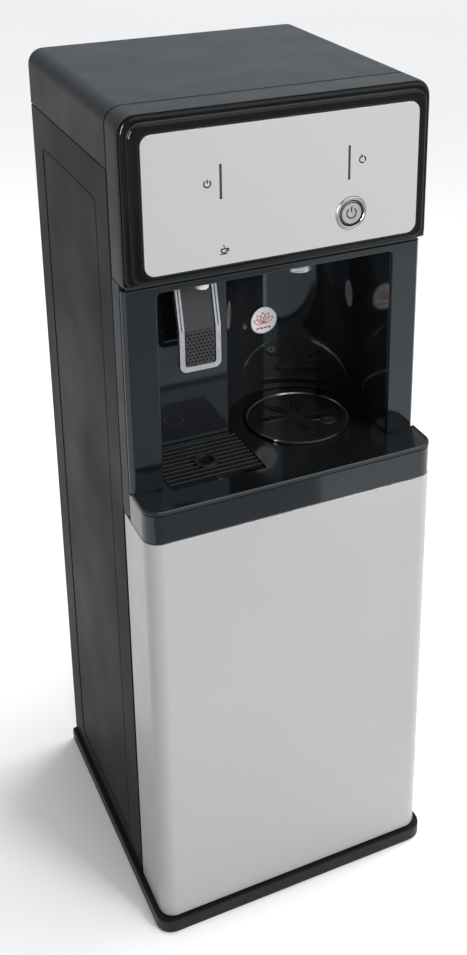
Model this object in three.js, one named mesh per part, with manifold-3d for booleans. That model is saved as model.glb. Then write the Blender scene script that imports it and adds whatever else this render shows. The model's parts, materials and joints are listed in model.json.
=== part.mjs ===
// Floor-standing water and tea dispenser: a steel cabinet for the water bottle, a shelf with a cup bay
// and a kettle bay above it, and a control head on top.
// Millimetres, +Z up. The front faces -Y. The origin is under the middle of the plinth, on the floor.
// Y places below are measured from the face of the control panel; the inner group moves them to the origin.
import * as THREE from "three";
import { mergeVertices } from "three/addons/utils/BufferGeometryUtils.js";
import Module from "manifold-3d";

const wasm = await Module();
wasm.setup();

// Driving dimensions.
const WIDTH = 350;
const DEPTH = 332; // control panel face to rear panel face
const HEIGHT = 1003;
const GAP = 0.4; // between touching pieces
const SHEET = 1.2; // cabinet sheet steel
const PLASTIC = 3; // moulded wall
const CORNER_STEPS = 6; // straight stretches in a quarter turn
const CIRCLE_STEPS = 28;

const PLINTH_LIP = 6; // how far the plinth stands out from the door
const PLINTH_TOP = 18;
const FOOT_RADIUS = 15;
const FOOT_LIFT = 1.5; // plinth above the floor
const FOOT_INSET = { side: 28, front: 24, back: 30 }; // foot centres inside the cabinet's faces

const DOOR_FRONT = -30;
const DOOR_BACK = 46.6;
const DOOR_LOW = 20.5;
const DOOR_HIGH = 543.5;
const DOOR_CORNER = 18;
const HINGE_INSET = 9; // hinge axis inside the door's right face
const HINGE_Y = 40;

const SEAM_Y = 50; // between the front mouldings and the steel cabinet
const POST_Y = 54;
const POST_WIDTH = 9;
const DECK_LOW = 537.5; // sheet over the bottle bay
const COVER_SEAM_Z = 939;
const TOP_CORNER = 18;

const SHELF_LOW = 544.5;
const SHELF_FLOOR = 579.8;
const SHELF_RIM_TOP = 583.5;
const SHELF_CORNER = 20;
const SHELF_WING_BACK = 26.2; // where the full-width nose of the shelf ends

const HEAD_LOW = 823.5;
const HEAD_WALL = 4;
const HEAD_FRONT = 17; // where the straight side of the head ends and its rounded front begins
const PANEL_HALF_WIDTH = 155.4;
const PANEL_LOW = 836.8;
const PANEL_HIGH = 983.5;
const PANEL_CORNER = 11;
const BUTTON_X = 75.7;
const BUTTON_Z = 870.3;
const BUTTON_RADIUS = 13.2;
const BUTTON_RING_RADIUS = 18.3;
const WINDOW_X = 72.5;
const WINDOW_LOW = 908;
const WINDOW_HIGH = 944.7;

const NICHE_FRONT = 17.9;
const NICHE_HALF_WIDTH = 170;
const NICHE_TOP = 817.5; // top edge of the niche frame's face, just below the head
const OPENING_HALF = 138.2;
const OPENING_TOP = 809.8;
const CUP_WALL_Y = 104;
const KETTLE_X = 60;
const KETTLE_Y = 96;
const KETTLE_BAY_X = OPENING_HALF - 82;
const KETTLE_BAY_RADIUS = 82;
const KETTLE_RADIUS = 62.3;

const TAP_X = -75;
const TAP_Y = 52;
const TAP_RADIUS = 8;
const TAP_TOP = 835; // where the valve begins
const VALVE_TOP = 868;
const SPOUT_RADIUS = 19;
const LEVER_X = -72.7;
const LEVER_HALF = 24.3;
const LEVER_PIVOT_Y = 90;
const LEVER_PIVOT_Z = 824;
const LEVER_BEND_Y = 70;
const LEVER_BEND_Z = 738;
const LEVER_LOW = 687.5;

const GRID_LEFT = -132;
const GRID_RIGHT = -20;
const GRID_FRONT = 12;
const GRID_BACK = 95;
const GRID_RIBS = 11;

const half = WIDTH / 2;
const CABINET_INNER = half - 2 * SHEET - GAP; // clear of the pressed side panels

const finishes = {
  matteBlack: { color: 0x4a4f53, roughness: 0.6, metalness: 0.0 },
  glossBlack: { color: 0x14171a, roughness: 0.12, metalness: 0.0 },
  silver: { color: 0xc9c9cc, roughness: 0.38, metalness: 0.3 },
  chrome: { color: 0xdddde0, roughness: 0.12, metalness: 1.0 },
  steel: { color: 0x8d9094, roughness: 0.4, metalness: 1.0 },
  rubber: { color: 0x1c1d1e, roughness: 0.85, metalness: 0.0 },
  white: { color: 0xe6e6e4, roughness: 0.4, metalness: 0.0 },
  board: { color: 0x1d5b34, roughness: 0.5, metalness: 0.0 },
  smoke: { color: 0x101214, roughness: 0.15, metalness: 0.0 },
};

const appliance = new THREE.Group();
const middleY = (DOOR_FRONT - PLINTH_LIP + DEPTH) / 2;
appliance.position.set(0, -middleY, 0);

function place(name, finish, geometry) {
  const material = new THREE.MeshStandardMaterial(finishes[finish]);
  const mesh = new THREE.Mesh(geometry, material);
  mesh.name = name;
  appliance.add(mesh);
}

// Outlines: lists of points, with arcs by formula.

function arc(centreX, centreY, radius, from, to, steps = CORNER_STEPS) {
  return Array.from({ length: steps + 1 }, (_, i) => {
    const angle = from + ((to - from) * i) / steps;
    return new THREE.Vector2(centreX + radius * Math.cos(angle), centreY + radius * Math.sin(angle));
  });
}

function circle(centreX, centreY, radius, steps = CIRCLE_STEPS) {
  return arc(centreX, centreY, radius, 0, 2 * Math.PI, steps).slice(0, steps);
}

function roundedRect(left, right, low, high, lowRadius = 0, highRadius = lowRadius) {
  const corners = [
    [right - lowRadius, low + lowRadius, lowRadius, -Math.PI / 2],
    [right - highRadius, high - highRadius, highRadius, 0],
    [left + highRadius, high - highRadius, highRadius, Math.PI / 2],
    [left + lowRadius, low + lowRadius, lowRadius, Math.PI],
  ];
  return corners.flatMap(([x, y, radius, start]) =>
    radius > 0 ? arc(x, y, radius, start, start + Math.PI / 2) : [new THREE.Vector2(x, y)],
  );
}

function polygon(...pairs) {
  return pairs.map(([x, y]) => new THREE.Vector2(x, y));
}

// Prisms: an outline pushed along one axis.

function plainPrism(outline, depth) {
  return new THREE.ExtrudeGeometry(new THREE.Shape(outline), { depth, bevelEnabled: false });
}

function prism(outline, depth, holes) {
  const body = plainPrism(outline, depth);
  const past = 1; // how far a hole's tool runs past each face
  const tools = holes.map((hole) => plainPrism(hole, depth + 2 * past).translate(0, 0, -past));
  return tools.length ? cut(body, ...tools) : body;
}

// A plan outline (x, y) raised from low to high.
function raised(outline, low, high, holes = []) {
  return prism(outline, high - low, holes).translate(0, 0, low);
}

// A front outline (x, z) pushed from front to back.
function facing(outline, front, back, holes = []) {
  return prism(outline, back - front, holes)
    .rotateX(Math.PI / 2)
    .translate(0, back, 0);
}

// A side outline (y, z) pushed from left to right.
function sideways(outline, left, right, holes = []) {
  const turn = new THREE.Matrix4().makeBasis(
    new THREE.Vector3(0, 1, 0),
    new THREE.Vector3(0, 0, 1),
    new THREE.Vector3(1, 0, 0),
  );
  return prism(outline, right - left, holes)
    .applyMatrix4(turn)
    .translate(left, 0, 0);
}

function block(left, right, front, back, low, high) {
  return raised(roundedRect(left, right, front, back), low, high);
}

// A profile of [radius, z] pairs turned about a vertical axis.
function turned(pairs, x, y, steps = CIRCLE_STEPS) {
  return new THREE.LatheGeometry(polygon(...pairs), steps).rotateX(Math.PI / 2).translate(x, y, 0);
}

// A round bar through the given points.
function pipe(radius, points) {
  const stops = points.map((p) => new THREE.Vector3(...p));
  const tension = 0.3;
  const extrudePath = new THREE.CatmullRomCurve3(stops, false, "catmullrom", tension);
  return new THREE.ExtrudeGeometry(new THREE.Shape(circle(0, 0, radius, 10)), {
    steps: 24,
    bevelEnabled: false,
    extrudePath,
  });
}

// Joining and cutting.

function solid(geometry) {
  const bare = geometry.clone();
  bare.deleteAttribute("normal");
  bare.deleteAttribute("uv");
  const merged = mergeVertices(bare, 1e-3);
  const mesh = new wasm.Mesh({
    numProp: 3,
    vertProperties: merged.attributes.position.array,
    triVerts: new Uint32Array(merged.index.array),
  });
  return new wasm.Manifold(mesh);
}

function surface(manifold) {
  const mesh = manifold.getMesh();
  const geometry = new THREE.BufferGeometry();
  geometry.setAttribute("position", new THREE.BufferAttribute(mesh.vertProperties, 3));
  geometry.setIndex(new THREE.BufferAttribute(mesh.triVerts, 1));
  geometry.computeVertexNormals();
  return geometry;
}

function cut(geometry, ...tools) {
  return surface(tools.reduce((left, tool) => left.subtract(solid(tool)), solid(geometry)));
}

function join(...geometries) {
  return surface(geometries.map(solid).reduce((all, next) => all.add(next)));
}

function overlapOf(first, second) {
  return surface(solid(first).intersect(solid(second)));
}

// Plinth and feet.

function footPlaces() {
  const x = half - FOOT_INSET.side;
  const front = DOOR_FRONT + FOOT_INSET.front;
  const back = DEPTH - FOOT_INSET.back;
  return { front_left: [-x, front], front_right: [x, front], rear_left: [-x, back], rear_right: [x, back] };
}

function addPlinth() {
  const outline = roundedRect(
    -half - PLINTH_LIP,
    half + PLINTH_LIP,
    DOOR_FRONT - PLINTH_LIP,
    DEPTH,
    SHELF_CORNER,
    4,
  );
  const pocketTop = 11;
  const pockets = Object.values(footPlaces()).map(([x, y]) =>
    raised(circle(x, y, FOOT_RADIUS + GAP), 0, pocketTop + GAP),
  );
  const footPad = FOOT_RADIUS + GAP + PLASTIC;
  const backRib = 8;
  const hollowTop = PLINTH_TOP - PLASTIC;
  // The hollow under the plinth stays clear of the feet.
  const sideInset = FOOT_INSET.side + footPad;
  const frontInset = FOOT_INSET.front + footPad;
  const backInset = FOOT_INSET.back + footPad;
  const hollows = [
    block(-half + sideInset, half - sideInset, DOOR_FRONT, DEPTH - backRib, 0, hollowTop),
    block(-half, half, DOOR_FRONT + frontInset, DEPTH - backInset, 0, hollowTop),
  ];
  place("base_plinth", "matteBlack", cut(raised(outline, FOOT_LIFT, PLINTH_TOP), ...pockets, ...hollows));
  for (const [name, [x, y]] of Object.entries(footPlaces())) {
    place("foot_" + name, "rubber", raised(circle(x, y, FOOT_RADIUS), 0, pocketTop));
  }
}

// Steel cabinet.

// Sheet steel with a large rectangle pressed inwards by the sheet's own thickness.
const PRESSING = { front: 44, back: 40, low: 24, high: 44, corner: 10 }; // margins round the rectangle

function addSidePanel(name, side) {
  const outline = roundedRect(SEAM_Y + GAP, DEPTH - GAP, PLINTH_TOP + GAP, COVER_SEAM_Z - GAP);
  const pressing = (grow) =>
    roundedRect(
      SEAM_Y + PRESSING.front - grow,
      DEPTH - PRESSING.back + grow,
      PLINTH_TOP + PRESSING.low - grow,
      COVER_SEAM_Z - PRESSING.high + grow,
      PRESSING.corner + grow,
    );
  const layer = (shape, outer, inner) =>
    sideways(shape, Math.min(side * outer, side * inner), Math.max(side * outer, side * inner));
  const sheet = cut(layer(outline, half, half - SHEET), layer(pressing(0), half + 1, half - SHEET - 1));
  const pressed = layer(pressing(SHEET), half - SHEET, half - 2 * SHEET);
  place(name, "matteBlack", join(sheet, pressed));
}

const THROUGH = 10; // how far a tool reaches on each side of the rear panel's face

function louvres() {
  const tools = [];
  const rows = 8;
  const pitch = 14;
  const lowest = 700;
  const centreX = 70;
  const reach = 45;
  const slotHeight = 5;
  for (let row = 0; row < rows; row++) {
    for (const side of [-1, 1]) {
      const low = lowest + row * pitch;
      const x = side * centreX;
      const outline = roundedRect(x - reach, x + reach, low, low + slotHeight, slotHeight / 2);
      tools.push(facing(outline, DEPTH - THROUGH, DEPTH + THROUGH));
    }
  }
  return tools;
}

const POWER_MODULE = { x: 100, z: 70, width: 64, height: 28 };
const SOCKET = { x: POWER_MODULE.x + 13, halfWidth: 11, halfHeight: 8, depth: 17, bladePitch: 6 };
const ROCKER = { x: POWER_MODULE.x - 19, width: 11, height: 17, wellDepth: 12 };
const DRAIN = { x: -90, z: 600, radius: 14 };

function moduleOutline(grow) {
  const { x, z, width, height } = POWER_MODULE;
  return roundedRect(
    x - width / 2 - grow,
    x + width / 2 + grow,
    z - height / 2 - grow,
    z + height / 2 + grow,
    3,
  );
}

function addRearPanel() {
  const inner = CABINET_INNER;
  const outline = roundedRect(-inner, inner, PLINTH_TOP + GAP, COVER_SEAM_Z - GAP);
  const drainOutline = circle(DRAIN.x, DRAIN.z, DRAIN.radius + GAP);
  place(
    "rear_panel",
    "matteBlack",
    cut(
      facing(outline, DEPTH - SHEET, DEPTH),
      ...louvres(),
      facing(moduleOutline(GAP), DEPTH - THROUGH, DEPTH + THROUGH),
      facing(drainOutline, DEPTH - THROUGH, DEPTH + THROUGH),
    ),
  );
}

function addRearFittings() {
  const z = POWER_MODULE.z;
  const moduleDepth = 24;
  const housing = facing(moduleOutline(0), DEPTH - moduleDepth, DEPTH - GAP);
  const socket = facing(
    roundedRect(
      SOCKET.x - SOCKET.halfWidth,
      SOCKET.x + SOCKET.halfWidth,
      z - SOCKET.halfHeight,
      z + SOCKET.halfHeight,
      4,
      1,
    ),
    DEPTH - SOCKET.depth,
    DEPTH,
  );
  const halfWidth = ROCKER.width / 2;
  const halfHeight = ROCKER.height / 2;
  const play = 1; // between the rocker and its well
  const rockerWell = facing(
    roundedRect(
      ROCKER.x - halfWidth - play,
      ROCKER.x + halfWidth + play,
      z - halfHeight - play,
      z + halfHeight + play,
    ),
    DEPTH - ROCKER.wellDepth,
    DEPTH,
  );
  const bladeTip = 5; // below the rear face
  const blades = [-1, 0, 1].map((place) => {
    const x = SOCKET.x + place * SOCKET.bladePitch;
    return block(x - 1, x + 1, DEPTH - SOCKET.depth - PLASTIC, DEPTH - bladeTip, z - 2, z + 2);
  });
  place("power_inlet", "rubber", join(cut(housing, socket, rockerWell), ...blades));

  const rockerBack = -8;
  const rockerEdge = -2;
  const rockerMiddle = -3.2;
  const rocker = sideways(
    polygon(
      [rockerBack, -halfHeight],
      [rockerEdge, -halfHeight],
      [rockerMiddle, 0],
      [rockerEdge, halfHeight],
      [rockerBack, halfHeight],
    ),
    ROCKER.x - halfWidth,
    ROCKER.x + halfWidth,
  );
  place("rear_rocker", "rubber", rocker.translate(0, DEPTH, z));

  const plugDepth = 12;
  const plug = circle(DRAIN.x, DRAIN.z, DRAIN.radius, 20);
  place("drain_plug", "white", facing(plug, DEPTH - plugDepth, DEPTH - GAP));
}

function addCabinetInside() {
  const inner = CABINET_INNER;
  const back = DEPTH - SHEET - GAP;
  const floorHigh = PLINTH_TOP + GAP + 2;
  const postBack = POST_Y + 12;
  place("cabinet_floor", "steel", block(-inner, inner, POST_Y, back, PLINTH_TOP + GAP, floorHigh));
  place("cabinet_deck", "steel", block(-inner, inner, POST_Y, back, DECK_LOW, DECK_LOW + SHEET));
  for (const [name, side] of Object.entries({ left: -1, right: 1 })) {
    const near = side > 0 ? inner - POST_WIDTH : -inner;
    place(
      "front_post_" + name,
      "steel",
      block(near, near + POST_WIDTH, POST_Y, postBack, floorHigh + GAP, DECK_LOW - GAP),
    );
  }
}

function addTopCover() {
  const outer = roundedRect(-half, half, COVER_SEAM_Z, HEIGHT, 0, TOP_CORNER);
  const inner = roundedRect(
    -half + PLASTIC,
    half - PLASTIC,
    COVER_SEAM_Z - PLASTIC,
    HEIGHT - PLASTIC,
    0,
    TOP_CORNER - PLASTIC,
  );
  place(
    "top_cover",
    "matteBlack",
    cut(facing(outer, SEAM_Y + GAP, DEPTH), facing(inner, SEAM_Y, DEPTH - PLASTIC)),
  );
}

// Control head.

// The head's outline, shrinking evenly to the control panel's outline as the inset grows to HEAD_BORDER.
const HEAD_BORDER = half - PANEL_HALF_WIDTH;

function headOutline(inset) {
  const share = inset / HEAD_BORDER;
  const lowCorner = 9;
  return roundedRect(
    -half + inset,
    half - inset,
    HEAD_LOW + (PANEL_LOW - HEAD_LOW) * share,
    HEIGHT - (HEIGHT - PANEL_HIGH) * share,
    lowCorner + (PANEL_CORNER - lowCorner) * share,
    TOP_CORNER + (PANEL_CORNER - TOP_CORNER) * share,
  );
}

function panelOutline(grow) {
  return roundedRect(
    -PANEL_HALF_WIDTH - grow,
    PANEL_HALF_WIDTH + grow,
    PANEL_LOW - grow,
    PANEL_HIGH + grow,
    PANEL_CORNER + grow,
  );
}

function windowOutline(side, grow) {
  return roundedRect(
    side * WINDOW_X - 1 - grow,
    side * WINDOW_X + 1 + grow,
    WINDOW_LOW - grow,
    WINDOW_HIGH + grow,
  );
}

function addHead() {
  const tapWayOutline = circle(TAP_X, TAP_Y, TAP_RADIUS + 1, 20);
  const tapWay = raised(tapWayOutline, HEAD_LOW - 1, HEAD_LOW + HEAD_WALL + 1);
  const straight = facing(headOutline(0), HEAD_FRONT, SEAM_Y, [headOutline(HEAD_WALL)]);
  place("head_frame", "matteBlack", cut(straight, tapWay));

  // Two rounded steps lead from the head's side to the control panel.
  const rings = [
    { inset: 0.8, front: 13.5 },
    { inset: 2.6, front: 9.5 },
    { inset: 5.4, front: 6.6 },
    { inset: 8.6, front: 5.6 },
    { inset: 11.4, front: 2.6 },
    { inset: 13.4, front: 1.2 },
  ];
  const bezelBack = HEAD_FRONT - GAP;
  const stack = rings.map(({ inset, front }) => facing(headOutline(inset), front, bezelBack));
  const middle = facing(panelOutline(GAP), -1, HEAD_FRONT + 1);
  const backRoomInset = 9;
  const backRoom = facing(headOutline(backRoomInset), 11, HEAD_FRONT + 1);
  place("control_bezel", "glossBlack", cut(join(...stack), middle, backRoom));
}

function addControls() {
  const panelBack = 3.2;
  const slack = 0.3;
  const ringOpening = circle(BUTTON_X, BUTTON_Z, BUTTON_RING_RADIUS + slack);
  const openings = [windowOutline(-1, slack), windowOutline(1, slack), ringOpening];
  place("control_panel", "silver", facing(panelOutline(0), 0, panelBack, openings));
  const carrierBack = 8;
  place(
    "panel_carrier",
    "rubber",
    facing(panelOutline(-0.2), panelBack + slack, carrierBack, [ringOpening]),
  );
  for (const [name, side] of Object.entries({ window_left: -1, window_right: 1 })) {
    place(name, "smoke", facing(windowOutline(side, 0), 0.2, panelBack));
  }

  const ringFront = -1.6;
  const buttonFront = -1.2;
  const ring = circle(BUTTON_X, BUTTON_Z, BUTTON_RING_RADIUS, 40);
  const ringHole = circle(BUTTON_X, BUTTON_Z, BUTTON_RADIUS + GAP);
  place("button_ring", "chrome", facing(ring, ringFront, carrierBack, [ringHole]));
  const cap = circle(BUTTON_X, BUTTON_Z, BUTTON_RADIUS);
  place("power_button", "silver", facing(cap, buttonFront, carrierBack + 0.5));

  const boardFront = 15;
  const boardBack = boardFront + 1.6;
  const switchFront = 11;
  const reach = 6;
  place(
    "power_switch",
    "rubber",
    block(
      BUTTON_X - reach,
      BUTTON_X + reach,
      switchFront,
      boardFront - GAP,
      BUTTON_Z - reach,
      BUTTON_Z + reach,
    ),
  );
  const boardMargin = 12;
  const board = roundedRect(
    -PANEL_HALF_WIDTH + boardMargin,
    PANEL_HALF_WIDTH - boardMargin,
    PANEL_LOW + boardMargin,
    PANEL_HIGH - boardMargin,
  );
  place("control_board", "board", facing(board, boardFront, boardBack));
}

// Niche with the cup bay on the left and the kettle bay on the right.

function nichePlan(grow, front) {
  const left = -OPENING_HALF - 1 - grow;
  const right = KETTLE_BAY_X + KETTLE_BAY_RADIUS + grow;
  const wallY = CUP_WALL_Y + grow;
  const radius = KETTLE_BAY_RADIUS + grow;
  const meet = Math.PI - Math.asin((wallY - KETTLE_Y) / radius);
  return [
    ...polygon([left, front], [right, front]),
    ...arc(KETTLE_BAY_X, KETTLE_Y, radius, 0, meet, 4 * CORNER_STEPS),
    ...arc(left + 6, wallY - 6, 6, Math.PI / 2, Math.PI, 3),
  ];
}

const LINER_FRONT = NICHE_FRONT + 4;

function addNiche() {
  const low = SHELF_FLOOR + GAP;
  const frameTop = HEAD_LOW - GAP;
  const cornerRadius = 5;
  const topCorner = (side) =>
    arc(
      side * (OPENING_HALF - cornerRadius),
      OPENING_TOP - cornerRadius,
      cornerRadius,
      side < 0 ? Math.PI : Math.PI / 2,
      side < 0 ? Math.PI / 2 : 0,
      4,
    ).map((p) => [p.x, p.y]);
  const outer = polygon(
    [-NICHE_HALF_WIDTH, low],
    [-OPENING_HALF, low],
    ...topCorner(-1),
    ...topCorner(1),
    [OPENING_HALF, low],
    [NICHE_HALF_WIDTH, low],
    [NICHE_HALF_WIDTH, frameTop],
    [-NICHE_HALF_WIDTH, frameTop],
  );
  const sides = [-1, 1].map((side) => block(
    Math.min(side * NICHE_HALF_WIDTH, side * (NICHE_HALF_WIDTH - PLASTIC)),
    Math.max(side * NICHE_HALF_WIDTH, side * (NICHE_HALF_WIDTH - PLASTIC)),
    NICHE_FRONT + 1,
    SEAM_Y - GAP,
    low,
    frameTop,
  ));
  // A wing at each side slopes back to the cabinet's full width, and a ledge runs along the top.
  const wings = [-1, 1].map((side) => {
    const plan = polygon(
      [NICHE_HALF_WIDTH - 1, NICHE_FRONT],
      [NICHE_HALF_WIDTH, NICHE_FRONT],
      [half - GAP, SHELF_WING_BACK - 3],
      [half - GAP, SHELF_WING_BACK],
      [NICHE_HALF_WIDTH - 1, SHELF_WING_BACK],
    ).map((p) => new THREE.Vector2(side * p.x, p.y));
    return raised(side > 0 ? plan : plan.reverse(), low, NICHE_TOP);
  });
  const face = facing(outer, NICHE_FRONT, LINER_FRONT - GAP);
  const ledge = block(-half, half, NICHE_FRONT - 1, LINER_FRONT - GAP - 1.2, NICHE_TOP, frameTop + 1);
  place("niche_frame", "glossBlack", cut(join(face, ...sides, ...wings), ledge));

  place(
    "niche_liner",
    "glossBlack",
    cut(
      raised(nichePlan(PLASTIC, LINER_FRONT), low, OPENING_TOP - GAP),
      raised(nichePlan(0, LINER_FRONT - 1), low - 1, OPENING_TOP + 1),
    ),
  );

  const leverSlot = roundedRect(
    LEVER_X - LEVER_HALF - 2,
    LEVER_X + LEVER_HALF + 2,
    LEVER_PIVOT_Y - 12,
    LEVER_PIVOT_Y + 8,
  );
  const holes = [
    leverSlot,
    circle(TAP_X, TAP_Y, TAP_RADIUS + 0.5, 20),
    circle(KETTLE_X, KETTLE_Y, SPOUT_RADIUS + 0.5, 24),
  ];
  place(
    "niche_ceiling",
    "glossBlack",
    raised(nichePlan(PLASTIC, LINER_FRONT), OPENING_TOP, OPENING_TOP + PLASTIC, holes),
  );

  for (const [name, side] of Object.entries({ left: -1, right: 1 })) {
    const outline = polygon(
      [SHELF_WING_BACK + 8, SHELF_LOW + GAP],
      [SEAM_Y - GAP, SHELF_LOW + GAP],
      [SEAM_Y - GAP, HEAD_LOW - GAP],
      [SHELF_WING_BACK + 0.6, HEAD_LOW - GAP],
      [SHELF_WING_BACK + 0.6, SHELF_LOW + 8],
    );
    const near = side > 0 ? NICHE_HALF_WIDTH + GAP : -half;
    const far = side > 0 ? half : -NICHE_HALF_WIDTH - GAP;
    place("side_strip_" + name, "matteBlack", sideways(outline, near, far));
  }
}

function addRoundLabel() {
  const centreZ = 676.5;
  const centreX = KETTLE_BAY_X - 3;
  const labelRadius = 17.5;
  const outline = circle(centreX, centreZ, labelRadius, 32);
  const disc = facing(outline, KETTLE_Y, KETTLE_Y + KETTLE_BAY_RADIUS);
  const bandOuter = KETTLE_BAY_RADIUS - 0.5;
  const thickness = 0.7;
  const band = raised(
    circle(KETTLE_BAY_X, KETTLE_Y, bandOuter, 64),
    centreZ - labelRadius - 1,
    centreZ + labelRadius + 1,
    [circle(KETTLE_BAY_X, KETTLE_Y, bandOuter - thickness, 64)],
  );
  place("round_label", "white", overlapOf(disc, band));
}

// Water outlets.

function addOutlets() {
  const tapTip = 792;
  const tapBore = 4;
  place(
    "tap_nozzle",
    "white",
    turned(
      [
        [tapBore, tapTip],
        [tapBore + 2.4, tapTip],
        [TAP_RADIUS, tapTip + 4],
        [TAP_RADIUS, TAP_TOP],
        [tapBore, TAP_TOP],
        [tapBore, tapTip],
      ],
      TAP_X,
      TAP_Y,
      20,
    ),
  );
  const valveLow = TAP_TOP + GAP;
  const valveRadius = 12;
  const valve = [[0, valveLow], [valveRadius, valveLow], [valveRadius, VALVE_TOP], [0, VALVE_TOP]];
  place("tap_valve", "white", turned(valve, TAP_X, TAP_Y, 20));

  const spoutLow = 775;
  const spoutHigh = 818;
  const spoutBore = 15;
  place(
    "kettle_spout",
    "chrome",
    turned(
      [
        [spoutBore, spoutLow],
        [SPOUT_RADIUS - 1, spoutLow],
        [SPOUT_RADIUS, spoutLow + 2],
        [SPOUT_RADIUS, spoutHigh],
        [spoutBore, spoutHigh],
        [spoutBore, spoutLow],
      ],
      KETTLE_X,
      KETTLE_Y,
      32,
    ),
  );
}

// Cup lever: a bent paddle with a bright trim, hung from a pin above the ceiling of the cup bay.

function leverProfile(front, back, low, high) {
  const slope = (LEVER_PIVOT_Y - LEVER_BEND_Y) / (LEVER_PIVOT_Z - LEVER_BEND_Z);
  const shift = slope * (high - LEVER_BEND_Z);
  return polygon(
    [LEVER_BEND_Y + front, low],
    [LEVER_BEND_Y + back, low],
    [LEVER_BEND_Y + back, LEVER_BEND_Z],
    [LEVER_BEND_Y + back + shift, high],
    [LEVER_BEND_Y + front + shift, high],
    [LEVER_BEND_Y + front, LEVER_BEND_Z],
  );
}

function addLever() {
  const trimWidth = 6;
  const trimTop = 806;
  const trimFront = -4;
  const trimBack = 3;
  const left = LEVER_X - LEVER_HALF;
  const right = LEVER_X + LEVER_HALF;
  const bowOutline = roundedRect(left, right, LEVER_LOW, LEVER_BEND_Z + 1, 8, 0);
  const bowRoom = roundedRect(
    left + trimWidth,
    right - trimWidth,
    LEVER_LOW + trimWidth,
    LEVER_BEND_Z + 0.5,
    3,
    0,
  );
  const bow = facing(bowOutline, LEVER_BEND_Y + trimFront, LEVER_BEND_Y + trimBack, [bowRoom]);
  const aboveBow = block(
    left + trimWidth,
    right - trimWidth,
    0,
    CUP_WALL_Y,
    LEVER_BEND_Z - 3,
    LEVER_BEND_Z + 9,
  );
  const armProfile = leverProfile(trimFront, trimBack, LEVER_BEND_Z - 6, trimTop);
  const arms = [[left, left + trimWidth], [right - trimWidth, right]].map(([from, to]) =>
    sideways(armProfile, from, to),
  );
  place("lever_trim", "chrome", cut(join(bow, ...arms), aboveBow));

  const inner = LEVER_HALF - trimWidth - 0.7;
  const paddle = sideways(
    leverProfile(-2, 2, LEVER_LOW + trimWidth + 1.4, LEVER_PIVOT_Z),
    LEVER_X - inner,
    LEVER_X + inner,
  );
  const hub = sideways(circle(LEVER_PIVOT_Y, LEVER_PIVOT_Z, 6, 20), LEVER_X - inner, LEVER_X + inner);
  const bore = sideways(
    circle(LEVER_PIVOT_Y, LEVER_PIVOT_Z, 3.1, 20),
    LEVER_X - LEVER_HALF,
    LEVER_X + LEVER_HALF,
  );
  place("lever_paddle", "smoke", cut(join(paddle, hub), bore));

  place(
    "lever_pad",
    "rubber",
    facing(
      roundedRect(LEVER_X - inner + 1, LEVER_X + inner - 1, LEVER_LOW + trimWidth + 2, LEVER_BEND_Z - 3, 2),
      LEVER_BEND_Y - 3.4,
      LEVER_BEND_Y - 2.3,
    ),
  );
}

function addLeverMount() {
  const pinReach = LEVER_HALF + 9;
  place(
    "lever_pin",
    "steel",
    sideways(circle(LEVER_PIVOT_Y, LEVER_PIVOT_Z, 2.6, 16), LEVER_X - pinReach, LEVER_X + pinReach),
  );
  const bridgeLow = LEVER_PIVOT_Z + 10;
  const earReach = 8;
  const earHole = circle(LEVER_PIVOT_Y, LEVER_PIVOT_Z, 3, 16);
  const earOutline = roundedRect(
    LEVER_PIVOT_Y - earReach,
    LEVER_PIVOT_Y + earReach,
    OPENING_TOP + PLASTIC + GAP,
    bridgeLow + 2,
  );
  const ears = [-1, 1].map((side) => {
    const centre = LEVER_X + side * (LEVER_HALF + 5);
    return sideways(earOutline, centre - 1.5, centre + 1.5, [earHole]);
  });
  const bridge = block(
    LEVER_X - LEVER_HALF - 6.5,
    LEVER_X + LEVER_HALF + 6.5,
    LEVER_PIVOT_Y - earReach,
    LEVER_PIVOT_Y + earReach,
    bridgeLow,
    bridgeLow + PLASTIC,
  );
  place("lever_bracket", "steel", join(...ears, bridge));

  const turns = 3;
  const coilPitch = 1.9;
  const coilRadius = 4.6;
  const coil = new THREE.CatmullRomCurve3(
    Array.from({ length: turns * 8 + 1 }, (_, i) => {
      const angle = (i * Math.PI) / 4;
      return new THREE.Vector3(
        LEVER_X - LEVER_HALF - 1.5 + (coilPitch * i) / 8,
        LEVER_PIVOT_Y + coilRadius * Math.cos(angle),
        LEVER_PIVOT_Z + coilRadius * Math.sin(angle),
      );
    }),
  );
  place(
    "lever_spring",
    "steel",
    new THREE.ExtrudeGeometry(new THREE.Shape(circle(0, 0, 0.6, 6)), {
      steps: turns * 12,
      bevelEnabled: false,
      extrudePath: coil,
    }),
  );
  place(
    "lever_switch",
    "rubber",
    block(LEVER_X - 10, LEVER_X + 10, LEVER_PIVOT_Y + 10, LEVER_PIVOT_Y + 16.5, 814, 832),
  );
}

// Shelf with the drip grid and the kettle plate.

const TRAY_LOW = DECK_LOW + SHEET + 12; // underside of the shelf behind its nose

function shelfOutline(inset, back) {
  return roundedRect(
    -half + inset,
    half - inset,
    DOOR_FRONT + inset,
    back,
    SHELF_CORNER - inset,
    0,
  );
}

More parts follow.
